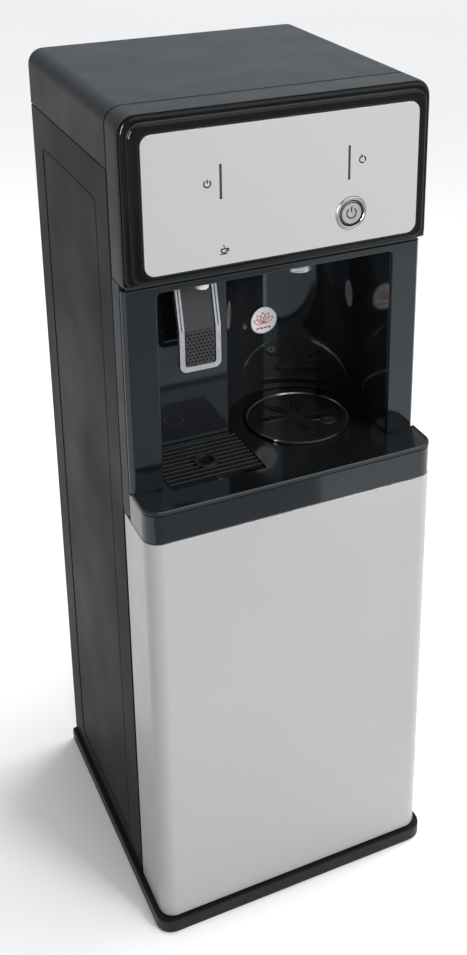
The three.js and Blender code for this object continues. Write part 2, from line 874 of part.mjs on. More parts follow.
function addShelf() {
  const deckHalf = NICHE_HALF_WIDTH - GAP;
  const deckBack = KETTLE_Y + KETTLE_BAY_RADIUS + PLASTIC;
  const deckLow = TRAY_LOW;
  const rimWidth = 2.5;
  const whole = shelfOutline(0, SHELF_WING_BACK);
  const rim = raised(whole, SHELF_FLOOR - 1, SHELF_RIM_TOP, [shelfOutline(rimWidth, NICHE_FRONT)]);
  const rimBack = block(
    -half - 1,
    half + 1,
    NICHE_FRONT - 0.6,
    SHELF_WING_BACK + 1,
    SHELF_FLOOR,
    SHELF_RIM_TOP + 1,
  );
  const nose = join(raised(whole, SHELF_LOW, SHELF_FLOOR), cut(rim, rimBack));
  const deck = block(-deckHalf, deckHalf, SHELF_WING_BACK - 1, deckBack, deckLow, SHELF_FLOOR);
  const noseHollow = block(
    -half + PLASTIC + 16,
    half - PLASTIC - 16,
    DOOR_FRONT + PLASTIC,
    GRID_FRONT - PLASTIC - 1,
    SHELF_LOW - 1,
    SHELF_FLOOR - PLASTIC,
  );
  const deckHollow = block(
    GRID_RIGHT + 12,
    deckHalf - PLASTIC,
    SEAM_Y,
    deckBack - PLASTIC,
    deckLow - 1,
    SHELF_FLOOR - 6.5,
  );
  const panPocket = block(
    GRID_LEFT - GAP,
    GRID_RIGHT + GAP,
    GRID_FRONT - GAP,
    GRID_BACK + GAP,
    deckLow + PLASTIC,
    SHELF_FLOOR + 5,
  );
  const recessOutline = circle(KETTLE_X, KETTLE_Y, KETTLE_RADIUS + GAP, 40);
  const plateRecess = raised(recessOutline, SHELF_FLOOR - PLASTIC, SHELF_FLOOR + 5);
  const hollows = [noseHollow, deckHollow, panPocket, plateRecess];
  place("shelf_tray", "glossBlack", cut(join(nose, deck), ...hollows));
}

function addDripTray() {
  const low = TRAY_LOW + PLASTIC + GAP;
  const gridLow = SHELF_FLOOR - 3.2;
  const wall = 2;
  const pan = block(GRID_LEFT, GRID_RIGHT, GRID_FRONT, GRID_BACK, low, gridLow - GAP);
  const hollow = block(
    GRID_LEFT + wall,
    GRID_RIGHT - wall,
    GRID_FRONT + wall,
    GRID_BACK - wall,
    low + wall,
    gridLow + 1,
  );
  place("drip_pan", "rubber", cut(pan, hollow));

  const gridTop = SHELF_FLOOR + 1;
  const border = 3;
  const ribWidth = 3.2;
  const pitch = (GRID_BACK - GRID_FRONT - border) / GRID_RIBS;
  const slots = Array.from({ length: GRID_RIBS }, (_, i) => {
    const front = GRID_FRONT + border + i * pitch;
    const back = front + pitch - ribWidth;
    return block(GRID_LEFT + 4, GRID_RIGHT - 4, front, back, gridLow - 1, gridTop + 1);
  });
  const plate = block(GRID_LEFT, GRID_RIGHT, GRID_FRONT, GRID_BACK, gridLow, gridTop);
  const centreY = (GRID_FRONT + GRID_BACK) / 2;
  const hub = raised(circle(TAP_X, centreY, 14, 24), gridLow, gridTop);
  const fingerHole = raised(circle(TAP_X, centreY, 9.5, 20), gridLow - 1, gridTop + 1);
  place("drip_grid", "rubber", cut(join(cut(plate, ...slots), hub), fingerHole));
}

function addKettlePlate() {
  const low = SHELF_FLOOR - 2.6;
  const plateTop = SHELF_FLOOR + 2.4;
  const ringInner = KETTLE_RADIUS - 3;
  const contact = { x: KETTLE_X + 30, y: KETTLE_Y - 22, radius: 9 };
  place(
    "kettle_ring",
    "chrome",
    raised(circle(KETTLE_X, KETTLE_Y, KETTLE_RADIUS, 40), low, plateTop + 1, [
      circle(KETTLE_X, KETTLE_Y, ringInner, 40),
    ]),
  );
  place(
    "kettle_plate",
    "glossBlack",
    raised(circle(KETTLE_X, KETTLE_Y, ringInner - GAP, 40), low, plateTop, [
      circle(contact.x, contact.y, contact.radius + GAP, 20),
    ]),
  );
  place(
    "kettle_contact",
    "steel",
    raised(circle(contact.x, contact.y, contact.radius, 20), low, plateTop + 0.6, [
      circle(contact.x, contact.y, 3.5, 12),
    ]),
  );
}

// Door of the bottle bay, hung on two pins at its right rear edge.

function doorPlan(inset) {
  return roundedRect(
    -half + inset,
    half - inset,
    DOOR_FRONT + inset,
    DOOR_BACK,
    DOOR_CORNER - inset,
    0,
  );
}

const HINGE_X = half - HINGE_INSET;

function addDoor() {
  const skin = 2.4;
  const shellHollow = roundedRect(
    -half + skin,
    half - skin,
    DOOR_FRONT + skin,
    DOOR_BACK + 1,
    DOOR_CORNER - skin,
    0,
  );
  place(
    "door_panel",
    "silver",
    cut(raised(doorPlan(0), DOOR_LOW, DOOR_HIGH), raised(shellHollow, DOOR_LOW - 1, DOOR_HIGH + 1)),
  );

  const capHeight = 12;
  const rimWidth = 7;
  const body = raised(doorPlan(skin + GAP), DOOR_LOW + 0.5, DOOR_HIGH - 0.5);
  const roomLow = DOOR_LOW + capHeight;
  const roomHigh = DOOR_HIGH - capHeight;
  const roomHalf = half - skin - GAP - rimWidth;
  const room = block(-roomHalf, roomHalf, DOOR_FRONT - 1, DOOR_BACK + 1, roomLow, roomHigh);
  const rimDepth = 9;
  const frontRoom = block(-half, half, DOOR_FRONT, DOOR_BACK - rimDepth, roomLow, roomHigh);
  const capHollow = [
    [DOOR_LOW + 3.5, DOOR_LOW + capHeight + 1],
    [DOOR_HIGH - capHeight - 1, DOOR_HIGH - 3.5],
  ].map(([low, high]) => block(-half + 16, half - 24, DOOR_FRONT + 18, DOOR_BACK + 1, low, high));
  const bores = [
    [DOOR_LOW - 1, DOOR_LOW + 10],
    [DOOR_HIGH - 10, DOOR_HIGH + 1],
  ].map(([low, high]) => raised(circle(HINGE_X, HINGE_Y, 3.4, 16), low, high));
  place("door_liner", "rubber", cut(body, room, frontRoom, ...capHollow, ...bores));

  const pin = circle(HINGE_X, HINGE_Y, 3, 16);
  const pinReach = 8; // into the door
  place("hinge_pin_lower", "steel", raised(pin, PLINTH_TOP + GAP, DOOR_LOW + pinReach));
  place("hinge_pin_upper", "steel", raised(pin, DOOR_HIGH - pinReach, SHELF_LOW - GAP));

  const catchLeft = -CABINET_INNER + POST_WIDTH + GAP;
  const catchLow = 480;
  const catchHigh = 520;
  const catchFront = SEAM_Y + 0.2;
  place(
    "magnet_catch",
    "rubber",
    block(catchLeft, catchLeft + 18, catchFront, POST_Y + 12, catchLow, catchHigh),
  );
  place(
    "door_strike",
    "steel",
    block(-half + 4, -half + 20, DOOR_BACK + 0.3, DOOR_BACK + 2.6, catchLow + 2, catchHigh - 2),
  );
}

// Water system behind the niche.

function addWaterSystem() {
  const deckTop = DECK_LOW + SHEET;
  const tank = { x: -70, y: 250, radius: 52, low: 640, high: 790, wall: 1.2, mouth: 6, shoulder: 8 };
  place(
    "hot_tank",
    "steel",
    turned(
      [
        [tank.mouth, tank.high - tank.wall],
        [tank.radius - tank.shoulder, tank.high - tank.wall],
        [tank.radius - tank.wall, tank.high - tank.shoulder],
        [tank.radius - tank.wall, tank.low + tank.shoulder],
        [tank.radius - tank.shoulder, tank.low + tank.wall],
        [0, tank.low + tank.wall],
        [0, tank.low],
        [tank.radius - tank.shoulder, tank.low],
        [tank.radius, tank.low + tank.shoulder],
        [tank.radius, tank.high - tank.shoulder],
        [tank.radius - tank.shoulder, tank.high],
        [tank.mouth, tank.high],
        [tank.mouth, tank.high - tank.wall],
      ],
      tank.x,
      tank.y,
    ),
  );
  place(
    "tank_stand",
    "rubber",
    raised(circle(tank.x, tank.y, 40, 24), deckTop + GAP, tank.low - GAP, [circle(tank.x, tank.y, 34, 24)]),
  );
  const pump = { x: 80, y: 250 };
  place(
    "water_pump",
    "rubber",
    raised(circle(pump.x, pump.y, 28, 20), deckTop + GAP, deckTop + 70),
  );
  place(
    "pump_pipe",
    "white",
    pipe(4, [
      [pump.x, pump.y, deckTop + 71],
      [pump.x, pump.y, 680],
      [pump.x - 20, pump.y - 5, 800],
      [tank.x + 40, tank.y, 830],
      [tank.x, tank.y, 815],
      [tank.x, tank.y, tank.high + 1],
    ]),
  );
  place(
    "tap_pipe",
    "white",
    pipe(4, [
      [tank.x - 25, tank.y, tank.high + 1],
      [tank.x - 25, tank.y, 820],
      [tank.x - 25, tank.y - 20, 870],
      [TAP_X - 5, 160, 900],
      [TAP_X, 80, 900],
      [TAP_X, TAP_Y, 885],
      [TAP_X, TAP_Y, VALVE_TOP + 0.6],
    ]),
  );
  place("power_board", "board", block(40, 140, 300, 324, 840, 920));
}

addPlinth();
addSidePanel("side_panel_left", -1);
addSidePanel("side_panel_right", 1);
addRearPanel();
addRearFittings();
addCabinetInside();
addTopCover();
addHead();
addControls();
addNiche();
addRoundLabel();
addOutlets();
addLever();
addLeverMount();
addShelf();
addDripTray();
addKettlePlate();
addDoor();
addWaterSystem();

const part = new THREE.Group();
part.name = "water_dispenser";
part.add(appliance);

export default part;
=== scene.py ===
# Looks of the water and tea dispenser: each visible node gets a finished piece or a finished material.
# Metres, +Z up, the front faces -Y.
import json
from math import cos, hypot, pi, radians, sin, sqrt
import bmesh
import bpy
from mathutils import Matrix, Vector


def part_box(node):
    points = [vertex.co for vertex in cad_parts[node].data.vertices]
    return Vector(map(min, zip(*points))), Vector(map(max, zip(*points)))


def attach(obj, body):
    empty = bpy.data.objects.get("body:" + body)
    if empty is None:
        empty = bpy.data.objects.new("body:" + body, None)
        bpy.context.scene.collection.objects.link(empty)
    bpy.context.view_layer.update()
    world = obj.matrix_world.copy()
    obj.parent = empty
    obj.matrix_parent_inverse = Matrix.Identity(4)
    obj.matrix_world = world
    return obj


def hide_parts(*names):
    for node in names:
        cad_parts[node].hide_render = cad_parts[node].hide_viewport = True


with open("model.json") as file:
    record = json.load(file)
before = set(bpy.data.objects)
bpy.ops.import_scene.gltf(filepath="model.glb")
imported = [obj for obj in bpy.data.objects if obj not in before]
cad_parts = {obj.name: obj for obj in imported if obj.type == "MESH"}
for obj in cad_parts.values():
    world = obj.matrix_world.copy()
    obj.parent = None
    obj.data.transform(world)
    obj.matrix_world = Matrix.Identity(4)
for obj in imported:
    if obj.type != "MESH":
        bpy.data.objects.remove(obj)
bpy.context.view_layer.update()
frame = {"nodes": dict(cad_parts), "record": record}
nodes = frame["nodes"]
body_of = {n: body for body, members in frame["record"]["behaviour"]["bodies"].items() for n in members}
slot_of = {part["node"]: part["material_slot"] for part in frame["record"]["subparts"]}

scene = bpy.context.scene
MM = 0.001
TINY = 0.05 * MM  # radius of the axis end of a turned profile
PRINT = 0.06 * MM  # thickness of printed marks
ALMOST_ROUND = 359.9  # degrees, so that a ring's ribbon has two ends
panel_low, panel_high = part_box("control_panel")
head_low, head_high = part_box("head_frame")


def show(thing):
    scene.collection.objects.link(thing)
    return thing


def facing(direction):
    """The turn of a camera or a lamp whose back looks along a direction."""
    return Vector(direction).to_track_quat("Z", "Y").to_euler()


def centre_of(node, axes="xy"):
    """The middle of the node's box along the given axes."""
    low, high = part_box(node)
    return tuple((getattr(low, axis) + getattr(high, axis)) / 2 for axis in axes)


# ---------------- materials


class Shader:
    """A node material around one Principled shader, in object coordinates."""

    def __init__(self, name, color, roughness, metallic=0.0):
        self.material = bpy.data.materials.new(name)
        self.material.use_nodes = True
        self.tree = self.material.node_tree
        self.inputs = self.tree.nodes["Principled BSDF"].inputs
        self.inputs["Base Color"].default_value = (*color, 1)
        self.inputs["Roughness"].default_value = roughness
        self.inputs["Metallic"].default_value = metallic
        self.coordinates = self.tree.nodes.new("ShaderNodeTexCoord").outputs["Object"]
        self.normal = None

    def node(self, kind, **settings):
        made = self.tree.nodes.new(kind)
        for key, value in settings.items():
            setattr(made, key, value)
        return made

    def link(self, source, target):
        self.tree.links.new(source, target)

    def noise(self, scale, detail, stretch=(1, 1, 1)):
        mapping = self.node("ShaderNodeMapping")
        mapping.inputs["Scale"].default_value = stretch
        self.link(self.coordinates, mapping.inputs["Vector"])
        texture = self.node("ShaderNodeTexNoise")
        texture.inputs["Scale"].default_value = scale
        texture.inputs["Detail"].default_value = detail
        self.link(mapping.outputs["Vector"], texture.inputs["Vector"])
        return texture.outputs["Fac"]

    def ramp(self, factor, low, high, start=0.3, end=0.7):
        ramp = self.node("ShaderNodeMapRange")
        ramp.inputs["From Min"].default_value = start
        ramp.inputs["From Max"].default_value = end
        ramp.inputs["To Min"].default_value = low
        ramp.inputs["To Max"].default_value = high
        self.link(factor, ramp.inputs["Value"])
        return ramp.outputs["Result"]

    def vary_roughness(self, scale, low, high, stretch=(1, 1, 1)):
        self.link(self.ramp(self.noise(scale, 4.0, stretch), low, high), self.inputs["Roughness"])

    def vary_color(self, scale, first, second, start=0.3, end=0.7):
        mix = self.node("ShaderNodeMix", data_type="RGBA")
        mix.inputs["A"].default_value = (*first, 1)
        mix.inputs["B"].default_value = (*second, 1)
        self.link(self.ramp(self.noise(scale, 5.0), 0, 1, start, end), mix.inputs["Factor"])
        self.link(mix.outputs["Result"], self.inputs["Base Color"])
        return mix

    def shine(self, level, tint=(1, 1, 1)):
        self.inputs["Specular IOR Level"].default_value = level
        self.inputs["Specular Tint"].default_value = (*tint, 1)

    def grain(self, scale, strength, distance, detail=2.0, stretch=(1, 1, 1)):
        bump = self.node("ShaderNodeBump")
        bump.inputs["Strength"].default_value = strength
        bump.inputs["Distance"].default_value = distance
        self.link(self.noise(scale, detail, stretch), bump.inputs["Height"])
        if self.normal is not None:
            self.link(self.normal, bump.inputs["Normal"])
        self.normal = bump.outputs["Normal"]
        self.link(self.normal, self.inputs["Normal"])

    def cover(self, tones, sheen, grain):
        """An even finish: its tones, its sheen and its grain, each with a scale first."""
        self.vary_color(*tones)
        self.vary_roughness(*sheen)
        self.grain(*grain)
        return self.material

    def wear_and_glint_edges(self, base_mix, wear_and_glint, reach=0.0012):
        """Edges are lighter in colour: wear where hands and cloths rub them, and on the head border a
        painted highlight along the ridges of its steps.
        """
        rounded = self.node("ShaderNodeBevel", samples=6)
        rounded.inputs["Radius"].default_value = reach
        geometry = self.node("ShaderNodeNewGeometry")
        alike = self.node("ShaderNodeVectorMath", operation="DOT_PRODUCT")
        self.link(rounded.outputs["Normal"], alike.inputs[0])
        self.link(geometry.outputs["Normal"], alike.inputs[1])
        edge = self.ramp(alike.outputs["Value"], 0.6, 0, 0.9, 0.995)
        mix = self.node("ShaderNodeMix", data_type="RGBA")
        mix.inputs["B"].default_value = (*wear_and_glint, 1)
        self.link(edge, mix.inputs["Factor"])
        self.link(base_mix.outputs["Result"], mix.inputs["A"])
        self.link(mix.outputs["Result"], self.inputs["Base Color"])


def matte_black():
    shader = Shader("matte_black_moulding", (0.031, 0.034, 0.037), 0.5)
    mix = shader.vary_color(9, (0.029, 0.0318, 0.0345), (0.033, 0.0362, 0.0392))
    shader.wear_and_glint_edges(mix, (0.055, 0.058, 0.061))
    shader.shine(0.08)
    shader.vary_roughness(14, 0.44, 0.56)
    shader.grain(2200, 0.25, 0.00012)
    shader.grain(6, 0.05, 0.002)
    return shader.material


def painted_steel():
    shader = Shader("black_powder_coat", (0.016, 0.018, 0.0195), 0.5)
    mix = shader.vary_color(5, (0.0112, 0.0132, 0.0142), (0.0134, 0.0156, 0.0168))
    shader.wear_and_glint_edges(mix, (0.032, 0.034, 0.036))
    shader.vary_roughness(8, 0.42, 0.55)
    shader.grain(900, 0.3, 0.00015, 3.0)
    shader.grain(3.5, 0.12, 0.004, 1.0)
    shader.shine(0.04)
    return shader.material


def polished_black(name, color, roughness, shades, sheen, wave, shine):
    shader = Shader(name, color, roughness)
    shader.shine(*shine)
    return shader.cover((12, *shades), (25, *sheen), (wave, 0.03, 0.002, 1.0))


def gloss_black():
    shades = (0.0035, 0.004, 0.0045), (0.005, 0.0055, 0.006)
    shine = (0.6, (0.84, 0.94, 1.0))
    return polished_black("piano_black", (0.004, 0.0045, 0.005), 0.08, shades, (0.06, 0.13), 9, shine)


def shelf_gloss():
    shades = (0.0035, 0.004, 0.0045), (0.005, 0.0056, 0.0062)
    shine = (0.58, (0.88, 0.95, 1.0))
    return polished_black("shelf_black", (0.004, 0.0046, 0.0052), 0.07, shades, (0.05, 0.11), 9, shine)


# A lighter copy of the piano black for the inside of the bay: painted light, lifting walls that the lamps
# barely reach.
def bay_gloss_painted_light():
    shades = (0.008, 0.009, 0.0102), (0.0105, 0.0118, 0.0132)
    shine = (0.9, (0.82, 0.93, 1.0))
    return polished_black("bay_gloss_painted_light", (0.009, 0.0102, 0.0115), 0.07, shades, (0.05, 0.1), 7, shine)


def grid_finish():
    shader = Shader("grid_black", (0.007, 0.0075, 0.008), 0.3)
    shader.shine(0.3)
    tones = (30, (0.006, 0.0065, 0.007), (0.009, 0.0095, 0.01))
    return shader.cover(tones, (90, 0.24, 0.38), (1200, 0.12, 0.0001))


def border_gloss():
    shader = Shader("head_border_gloss", (0.002, 0.0022, 0.0022), 0.12)
    mix = shader.vary_color(12, (0.0018, 0.002, 0.002), (0.003, 0.0033, 0.0033))
    # Painted highlight: the ridges of the border's steps are much lighter in colour, standing in for the
    # light lines they catch.
    shader.wear_and_glint_edges(mix, (0.1, 0.1, 0.095), 0.0028)
    shader.vary_roughness(25, 0.1, 0.16)
    shader.grain(9, 0.01, 0.002, 1.0)
    shader.shine(0.13)
    return shader.material


def shadow_line():
    shader = Shader("shadow_line", (0.002, 0.002, 0.002), 0.8)
    shader.shine(0.1)
    tones = (60, (0.0015, 0.0015, 0.0015), (0.003, 0.003, 0.003))
    return shader.cover(tones, (90, 0.7, 0.9), (900, 0.1, 0.0001))


def silver_front():
    shader = Shader("light_silver_paint", (0.335, 0.334, 0.338), 0.36, 0.15)
    mix = shader.vary_color(3, (0.328, 0.327, 0.331), (0.342, 0.341, 0.345))
    shader.wear_and_glint_edges(mix, (0.5, 0.5, 0.505))
    shader.vary_roughness(20, 0.32, 0.4)
    shader.grain(1500, 0.08, 0.00008)
    shader.inputs["Coat Weight"].default_value = 0.25
    shader.inputs["Coat Roughness"].default_value = 0.25
    return shader.material


def bright_metal(name, color, roughness, shades, sheen):
    return Shader(name, color, roughness, 1.0).cover((60, *shades), (120, *sheen), (70, 0.03, 0.0005, 1.0))


def chrome():
    shades = (0.66, 0.66, 0.66), (0.74, 0.74, 0.74)
    return bright_metal("bright_plate", (0.7, 0.7, 0.7), 0.1, shades, (0.07, 0.16))


def satin_trim():
    shader = Shader("satin_trim", (0.55, 0.56, 0.58), 0.24, 0.85)
    tones = (80, (0.51, 0.52, 0.54), (0.59, 0.6, 0.62))
    return shader.cover(tones, (140, 0.18, 0.3), (400, 0.06, 0.0002, 2.0, (1, 1, 0.1)))


def cap_finish():
    shader = Shader("brushed_button", (0.36, 0.37, 0.38), 0.3, 0.7)
    tones = (120, (0.33, 0.34, 0.35), (0.4, 0.41, 0.42))
    return shader.cover(tones, (200, 0.24, 0.38, (1, 1, 8)), (900, 0.08, 0.0001, 2.0, (1, 1, 12)))


def ring_finish():
    shades = (0.43, 0.43, 0.42), (0.49, 0.49, 0.48)
    return bright_metal("button_ring_metal", (0.46, 0.46, 0.45), 0.16, shades, (0.12, 0.2))


def warm_rim():
    shades = (0.76, 0.72, 0.64), (0.84, 0.8, 0.72)
    return bright_metal("polished_warm_rim", (0.8, 0.76, 0.68), 0.16, shades, (0.12, 0.22))


def plate_finish():
    shader = Shader("kettle_plate_glass", (0.006, 0.006, 0.0057), 0.14)
    shader.shine(0.3)
    tones = (40, (0.0055, 0.0055, 0.0052), (0.0075, 0.0075, 0.0072))
    return shader.cover(tones, (60, 0.1, 0.2), (20, 0.03, 0.001, 1.0))


def motif_finish():
    shader = Shader("motif_black", (0.002, 0.002, 0.002), 0.35)
    tones = (90, (0.0015, 0.0015, 0.0015), (0.003, 0.003, 0.003))
    return shader.cover(tones, (90, 0.24, 0.38), (900, 0.1, 0.0001))


def plinth_finish():
    shader = Shader("plinth_black", (0.006, 0.0065, 0.0065), 0.42)
    mix = shader.vary_color(12, (0.005, 0.0055, 0.0055), (0.0075, 0.008, 0.008))
    shader.wear_and_glint_edges(mix, (0.015, 0.0155, 0.016))
    shader.shine(0.2)
    shader.vary_roughness(20, 0.36, 0.5)
    shader.grain(1500, 0.2, 0.00012)
    return shader.material


def steel():
    shader = Shader("plain_steel", (0.42, 0.43, 0.45), 0.38, 1.0)
    tones = (30, (0.38, 0.39, 0.41), (0.46, 0.47, 0.49))
    return shader.cover(tones, (60, 0.3, 0.48, (1, 1, 12)), (500, 0.1, 0.0001, 2.0, (1, 1, 10)))


def black_plastic():
    shader = Shader("plain_black_plastic", (0.018, 0.019, 0.02), 0.4)
    mix = shader.vary_color(30, (0.016, 0.017, 0.018), (0.022, 0.023, 0.024))
    shader.wear_and_glint_edges(mix, (0.035, 0.036, 0.037))
    shader.vary_roughness(50, 0.33, 0.5)
    shader.grain(1800, 0.2, 0.0001)
    return shader.material


def rubber():
    shader = Shader("soft_rubber", (0.022, 0.022, 0.023), 0.75)
    tones = (60, (0.02, 0.02, 0.021), (0.028, 0.028, 0.029))
    return shader.cover(tones, (90, 0.66, 0.85), (1200, 0.4, 0.00015, 3.0))


def smoke():
    shader = Shader("smoked_plastic", (0.02, 0.021, 0.022), 0.3)
    tones = (50, (0.018, 0.019, 0.02), (0.024, 0.025, 0.026))
    return shader.cover(tones, (80, 0.25, 0.36), (900, 0.1, 0.0001))


def white_plastic():
    shader = Shader("white_plastic", (0.78, 0.78, 0.76), 0.35)
    tones = (40, (0.75, 0.75, 0.73), (0.81, 0.81, 0.79))
    return shader.cover(tones, (60, 0.28, 0.42), (800, 0.08, 0.0001))


def label():
    shader = Shader("label_film", (0.72, 0.73, 0.74), 0.4)
    tones = (120, (0.68, 0.69, 0.7), (0.76, 0.77, 0.78))
    return shader.cover(tones, (150, 0.33, 0.5), (600, 0.1, 0.0001))


def red_print():
    shader = Shader("red_print", (0.5, 0.06, 0.05), 0.5)
    shader.vary_color(300, (0.45, 0.05, 0.045), (0.58, 0.08, 0.06))
    shader.vary_roughness(300, 0.42, 0.58)
    return shader.material


def dark_print():
    shader = Shader("dark_print", (0.01, 0.01, 0.011), 0.45)
    shader.vary_color(400, (0.008, 0.008, 0.009), (0.016, 0.016, 0.017))
    shader.vary_roughness(300, 0.38, 0.52)
    shader.shine(0.1)
    return shader.material


def board():
    shader = Shader("circuit_board", (0.03, 0.16, 0.06), 0.4)
    tones = (300, (0.02, 0.12, 0.045), (0.05, 0.22, 0.09), 0.45, 0.55)
    return shader.cover(tones, (150, 0.3, 0.5), (700, 0.3, 0.0002, 1.0))


def card_grey():
    shader = Shader("card_grey", (0.36, 0.37, 0.38), 0.9)
    shader.vary_color(3, (0.33, 0.34, 0.35), (0.4, 0.41, 0.42))
    shader.grain(200, 0.05, 0.0005)
    return shader.material


def pale_floor():
    shader = Shader("pale_floor", (0.93, 0.93, 0.93), 0.7)
    shader.vary_color(0.6, (0.92, 0.92, 0.92), (0.94, 0.94, 0.94))
    return shader.material


SLOT_FINISHES = (
    matte_black, painted_steel, gloss_black, silver_front, chrome, steel, black_plastic, rubber, smoke,
    white_plastic, label, board,
)
finish = {make.__name__: make() for make in SLOT_FINISHES}
trim_metal = satin_trim()
rim_metal = warm_rim()
ring_metal = ring_finish()
cap_silver = cap_finish()
motif_black = motif_finish()
plate_glass = plate_finish()
plinth_black = plinth_finish()
border_black = border_gloss()
bay_black_painted_light = bay_gloss_painted_light()
shelf_black = shelf_gloss()
grid_black = grid_finish()
# Near black for painted shadows: seams, gaps and dimples drawn dark where there would only be shade.
painted_shadow_black = shadow_line()
print_red = red_print()
print_dark = dark_print()

# ---------------- building helpers


def add_beside(node, name, mesh, material=None, slot=None):
    """A piece that rides with a node, in the node's slot unless it has its own."""
    body, slot = body_of[node], slot or slot_of[node]
    mesh.name = name
    thing = show(bpy.data.objects.new(name, mesh))
    mesh.materials.clear()
    mesh.materials.append(material or finish[slot])
    mesh.shade_smooth()
    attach(thing, body)
    return thing


def new_piece(node, name, mesh, material=None):
    """A detailed piece that stands for a node, on its body and in its finish."""
    piece = add_beside(node, name, mesh, material)
    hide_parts(node)
    return piece


def soften(thing, width):
    """Rounds the sharp edges, and keeps the large faces flat under smooth shading."""
    bevel = thing.modifiers.new("rounded edges", "BEVEL")
    bevel.width = width
    bevel.segments = 3
    bevel.limit_method = "ANGLE"
    bevel.angle_limit = radians(32)
    bevel.miter_outer = "MITER_ARC"
    normals = thing.modifiers.new("flat faces", "WEIGHTED_NORMAL")
    normals.mode = "FACE_AREA"
    normals.weight = 80


def mesh_from(points, faces):
    mesh = bpy.data.meshes.new("mesh")
    mesh.from_pydata(points, [], faces)
    mesh.update()
    work = bmesh.new()
    work.from_mesh(mesh)
    bmesh.ops.remove_doubles(work, verts=work.verts, dist=1e-6)
    bmesh.ops.recalc_face_normals(work, faces=work.faces)
    work.to_mesh(mesh)
    work.free()
    return mesh


def finished_copy(node, width, material=None):
    """The node's own shape with rounded edges, standing for the node."""
    mesh = nodes[node].data.copy()
    work = bmesh.new()
    work.from_mesh(mesh)
    bmesh.ops.remove_doubles(work, verts=work.verts, dist=1e-6)
    bmesh.ops.dissolve_limit(work, angle_limit=radians(0.5), verts=work.verts, edges=work.edges)
    work.to_mesh(mesh)
    work.free()
    soften(new_piece(node, node + "_finish", mesh, material), width * MM)


def crisp(piece, angle=34):
    """Keeps the edges sharper than the angle, and the large faces flat."""
    piece.data.set_sharp_from_angle(angle=radians(angle))
    normals = piece.modifiers.new("flat faces", "WEIGHTED_NORMAL")
    normals.weight = 80
    normals.keep_sharp = True


def rounded_rect(left, right, low, high, low_radius, high_radius, steps=10):
    """A rounded rectangle, anticlockwise from its low right corner."""
    corners = [
        (right - low_radius, low + low_radius, low_radius, -90),
        (right - high_radius, high - high_radius, high_radius, 0),
        (left + high_radius, high - high_radius, high_radius, 90),
        (left + low_radius, low + low_radius, low_radius, 180),
    ]
    points = []
    for x, z, radius, start in corners:
        for step in range(steps + 1):
            angle = radians(start + 90 * step / steps)
            points.append((x + radius * cos(angle), z + radius * sin(angle)))
    return points


def loft(rings, close_ends=False, close_loop=False):
    """A skin through rings of points that all have the same count."""
    count = len(rings[0])
    points = [p for ring in rings for p in ring]
    faces = []
    spans = len(rings) if close_loop else len(rings) - 1
    for ring in range(spans):
        here = ring * count
        there = ((ring + 1) % len(rings)) * count
        for i in range(count):
            j = (i + 1) % count
            faces.append((here + i, here + j, there + j, there + i))
    if close_ends:
        faces.append(tuple(range(count)))
        faces.append(tuple((len(rings) - 1) * count + i for i in range(count)))
    return mesh_from(points, faces)


def small_rect(left, right, low, high, radius):
    return rounded_rect(left, right, low, high, radius, radius, 3)


def solid(rings):
    return loft(rings, close_ends=True)


def quarter(start, end, steps=6, bulge_first=True):
    """A quarter ellipse between two points, leaving the first along the second axis, or the first."""
    points = []
    for step in range(steps + 1):
        angle = pi / 2 * step / steps
        first, second = (1 - cos(angle), sin(angle))
        if not bulge_first:
            first, second = second, first
        across = start[0] + (end[0] - start[0]) * first
        along = start[1] + (end[1] - start[1]) * second
        points.append((across, along))
    return points


def turned(profile, centre, axis="Z", steps=64):
    """A closed profile of (radius, height) points turned round a vertical axis, or round Y."""
    rings = []
    for step in range(steps):
        angle = 2 * pi * step / steps
        across, along = cos(angle), sin(angle)
        if axis == "Z":
            ring = [(centre[0] + r * across, centre[1] + r * along, h) for r, h in profile]
        else:
            ring = [(centre[0] + r * across, h, centre[1] + r * along) for r, h in profile]
        rings.append(ring)
    return loft(rings, close_loop=True)


def join_meshes(meshes):
    work = bmesh.new()
    for mesh in meshes:
        work.from_mesh(mesh)
        bpy.data.meshes.remove(mesh)
    joined = bpy.data.meshes.new("joined")
    work.to_mesh(joined)
    work.free()
    return joined


def layers(outline, heights):
    """The (x, y) outline at each height."""
    return [[(x, y, z) for x, y in outline] for z in heights]


def slices(outline, depths):
    """The (x, z) outline at each depth."""
    return [[(x, y, z) for x, z in outline] for y in depths]


def there_and_back(steps):
    """Pairs of a side and a share of the length: out along one side, back along the other."""
    shares = [step / steps for step in range(steps + 1)]
    return [(1, share) for share in shares] + [(-1, 1 - share) for share in shares]


def ribbon(points, width):
    """A flat outline of even width along a line of (x, z) points."""
    left, right = [], []
    for i, point in enumerate(points):
        before = Vector(points[max(i - 1, 0)])
        after = Vector(points[min(i + 1, len(points) - 1)])
        along = (after - before).normalized()
        side = Vector((-along.y, along.x)) * width / 2
        left.append(tuple(Vector(point) + side))
        right.append(tuple(Vector(point) - side))
    return left + right[::-1]


def arc_points(x, z, radius, start, end, steps, flat=1.0):
    points = []
    for step in range(steps + 1):
        angle = radians(start + (end - start) * step / steps)
        points.append((x + radius * cos(angle), z + flat * radius * sin(angle)))
    return points


def plate_mesh(outlines, place_front, place_back):
    """Thin closed shapes: each outline once in front and once behind, joined round the edge."""
    points, faces = [], []
    for outline in outlines:
        start = len(points)
        count = len(outline)
        points += [place_front(x, z) for x, z in outline]
        points += [place_back(x, z) for x, z in outline]
        half = count // 2
        for base in (start, start + count):
            for i in range(half - 1):
                faces.append((base + i, base + i + 1, base + count - 2 - i, base + count - 1 - i))
        for i in range(count):
            j = (i + 1) % count
            faces.append((start + i, start + j, start + count + j, start + count + i))
    return mesh_from(points, faces)


# ---------------- camera, lights and floor

VIEW_AZIMUTH = radians(-25.44)
VIEW_ELEVATION = radians(20.91)
VIEW_DISTANCE = 1.65
VIEW_AIM = Vector((0.1289, 0.1267, 0.7418))


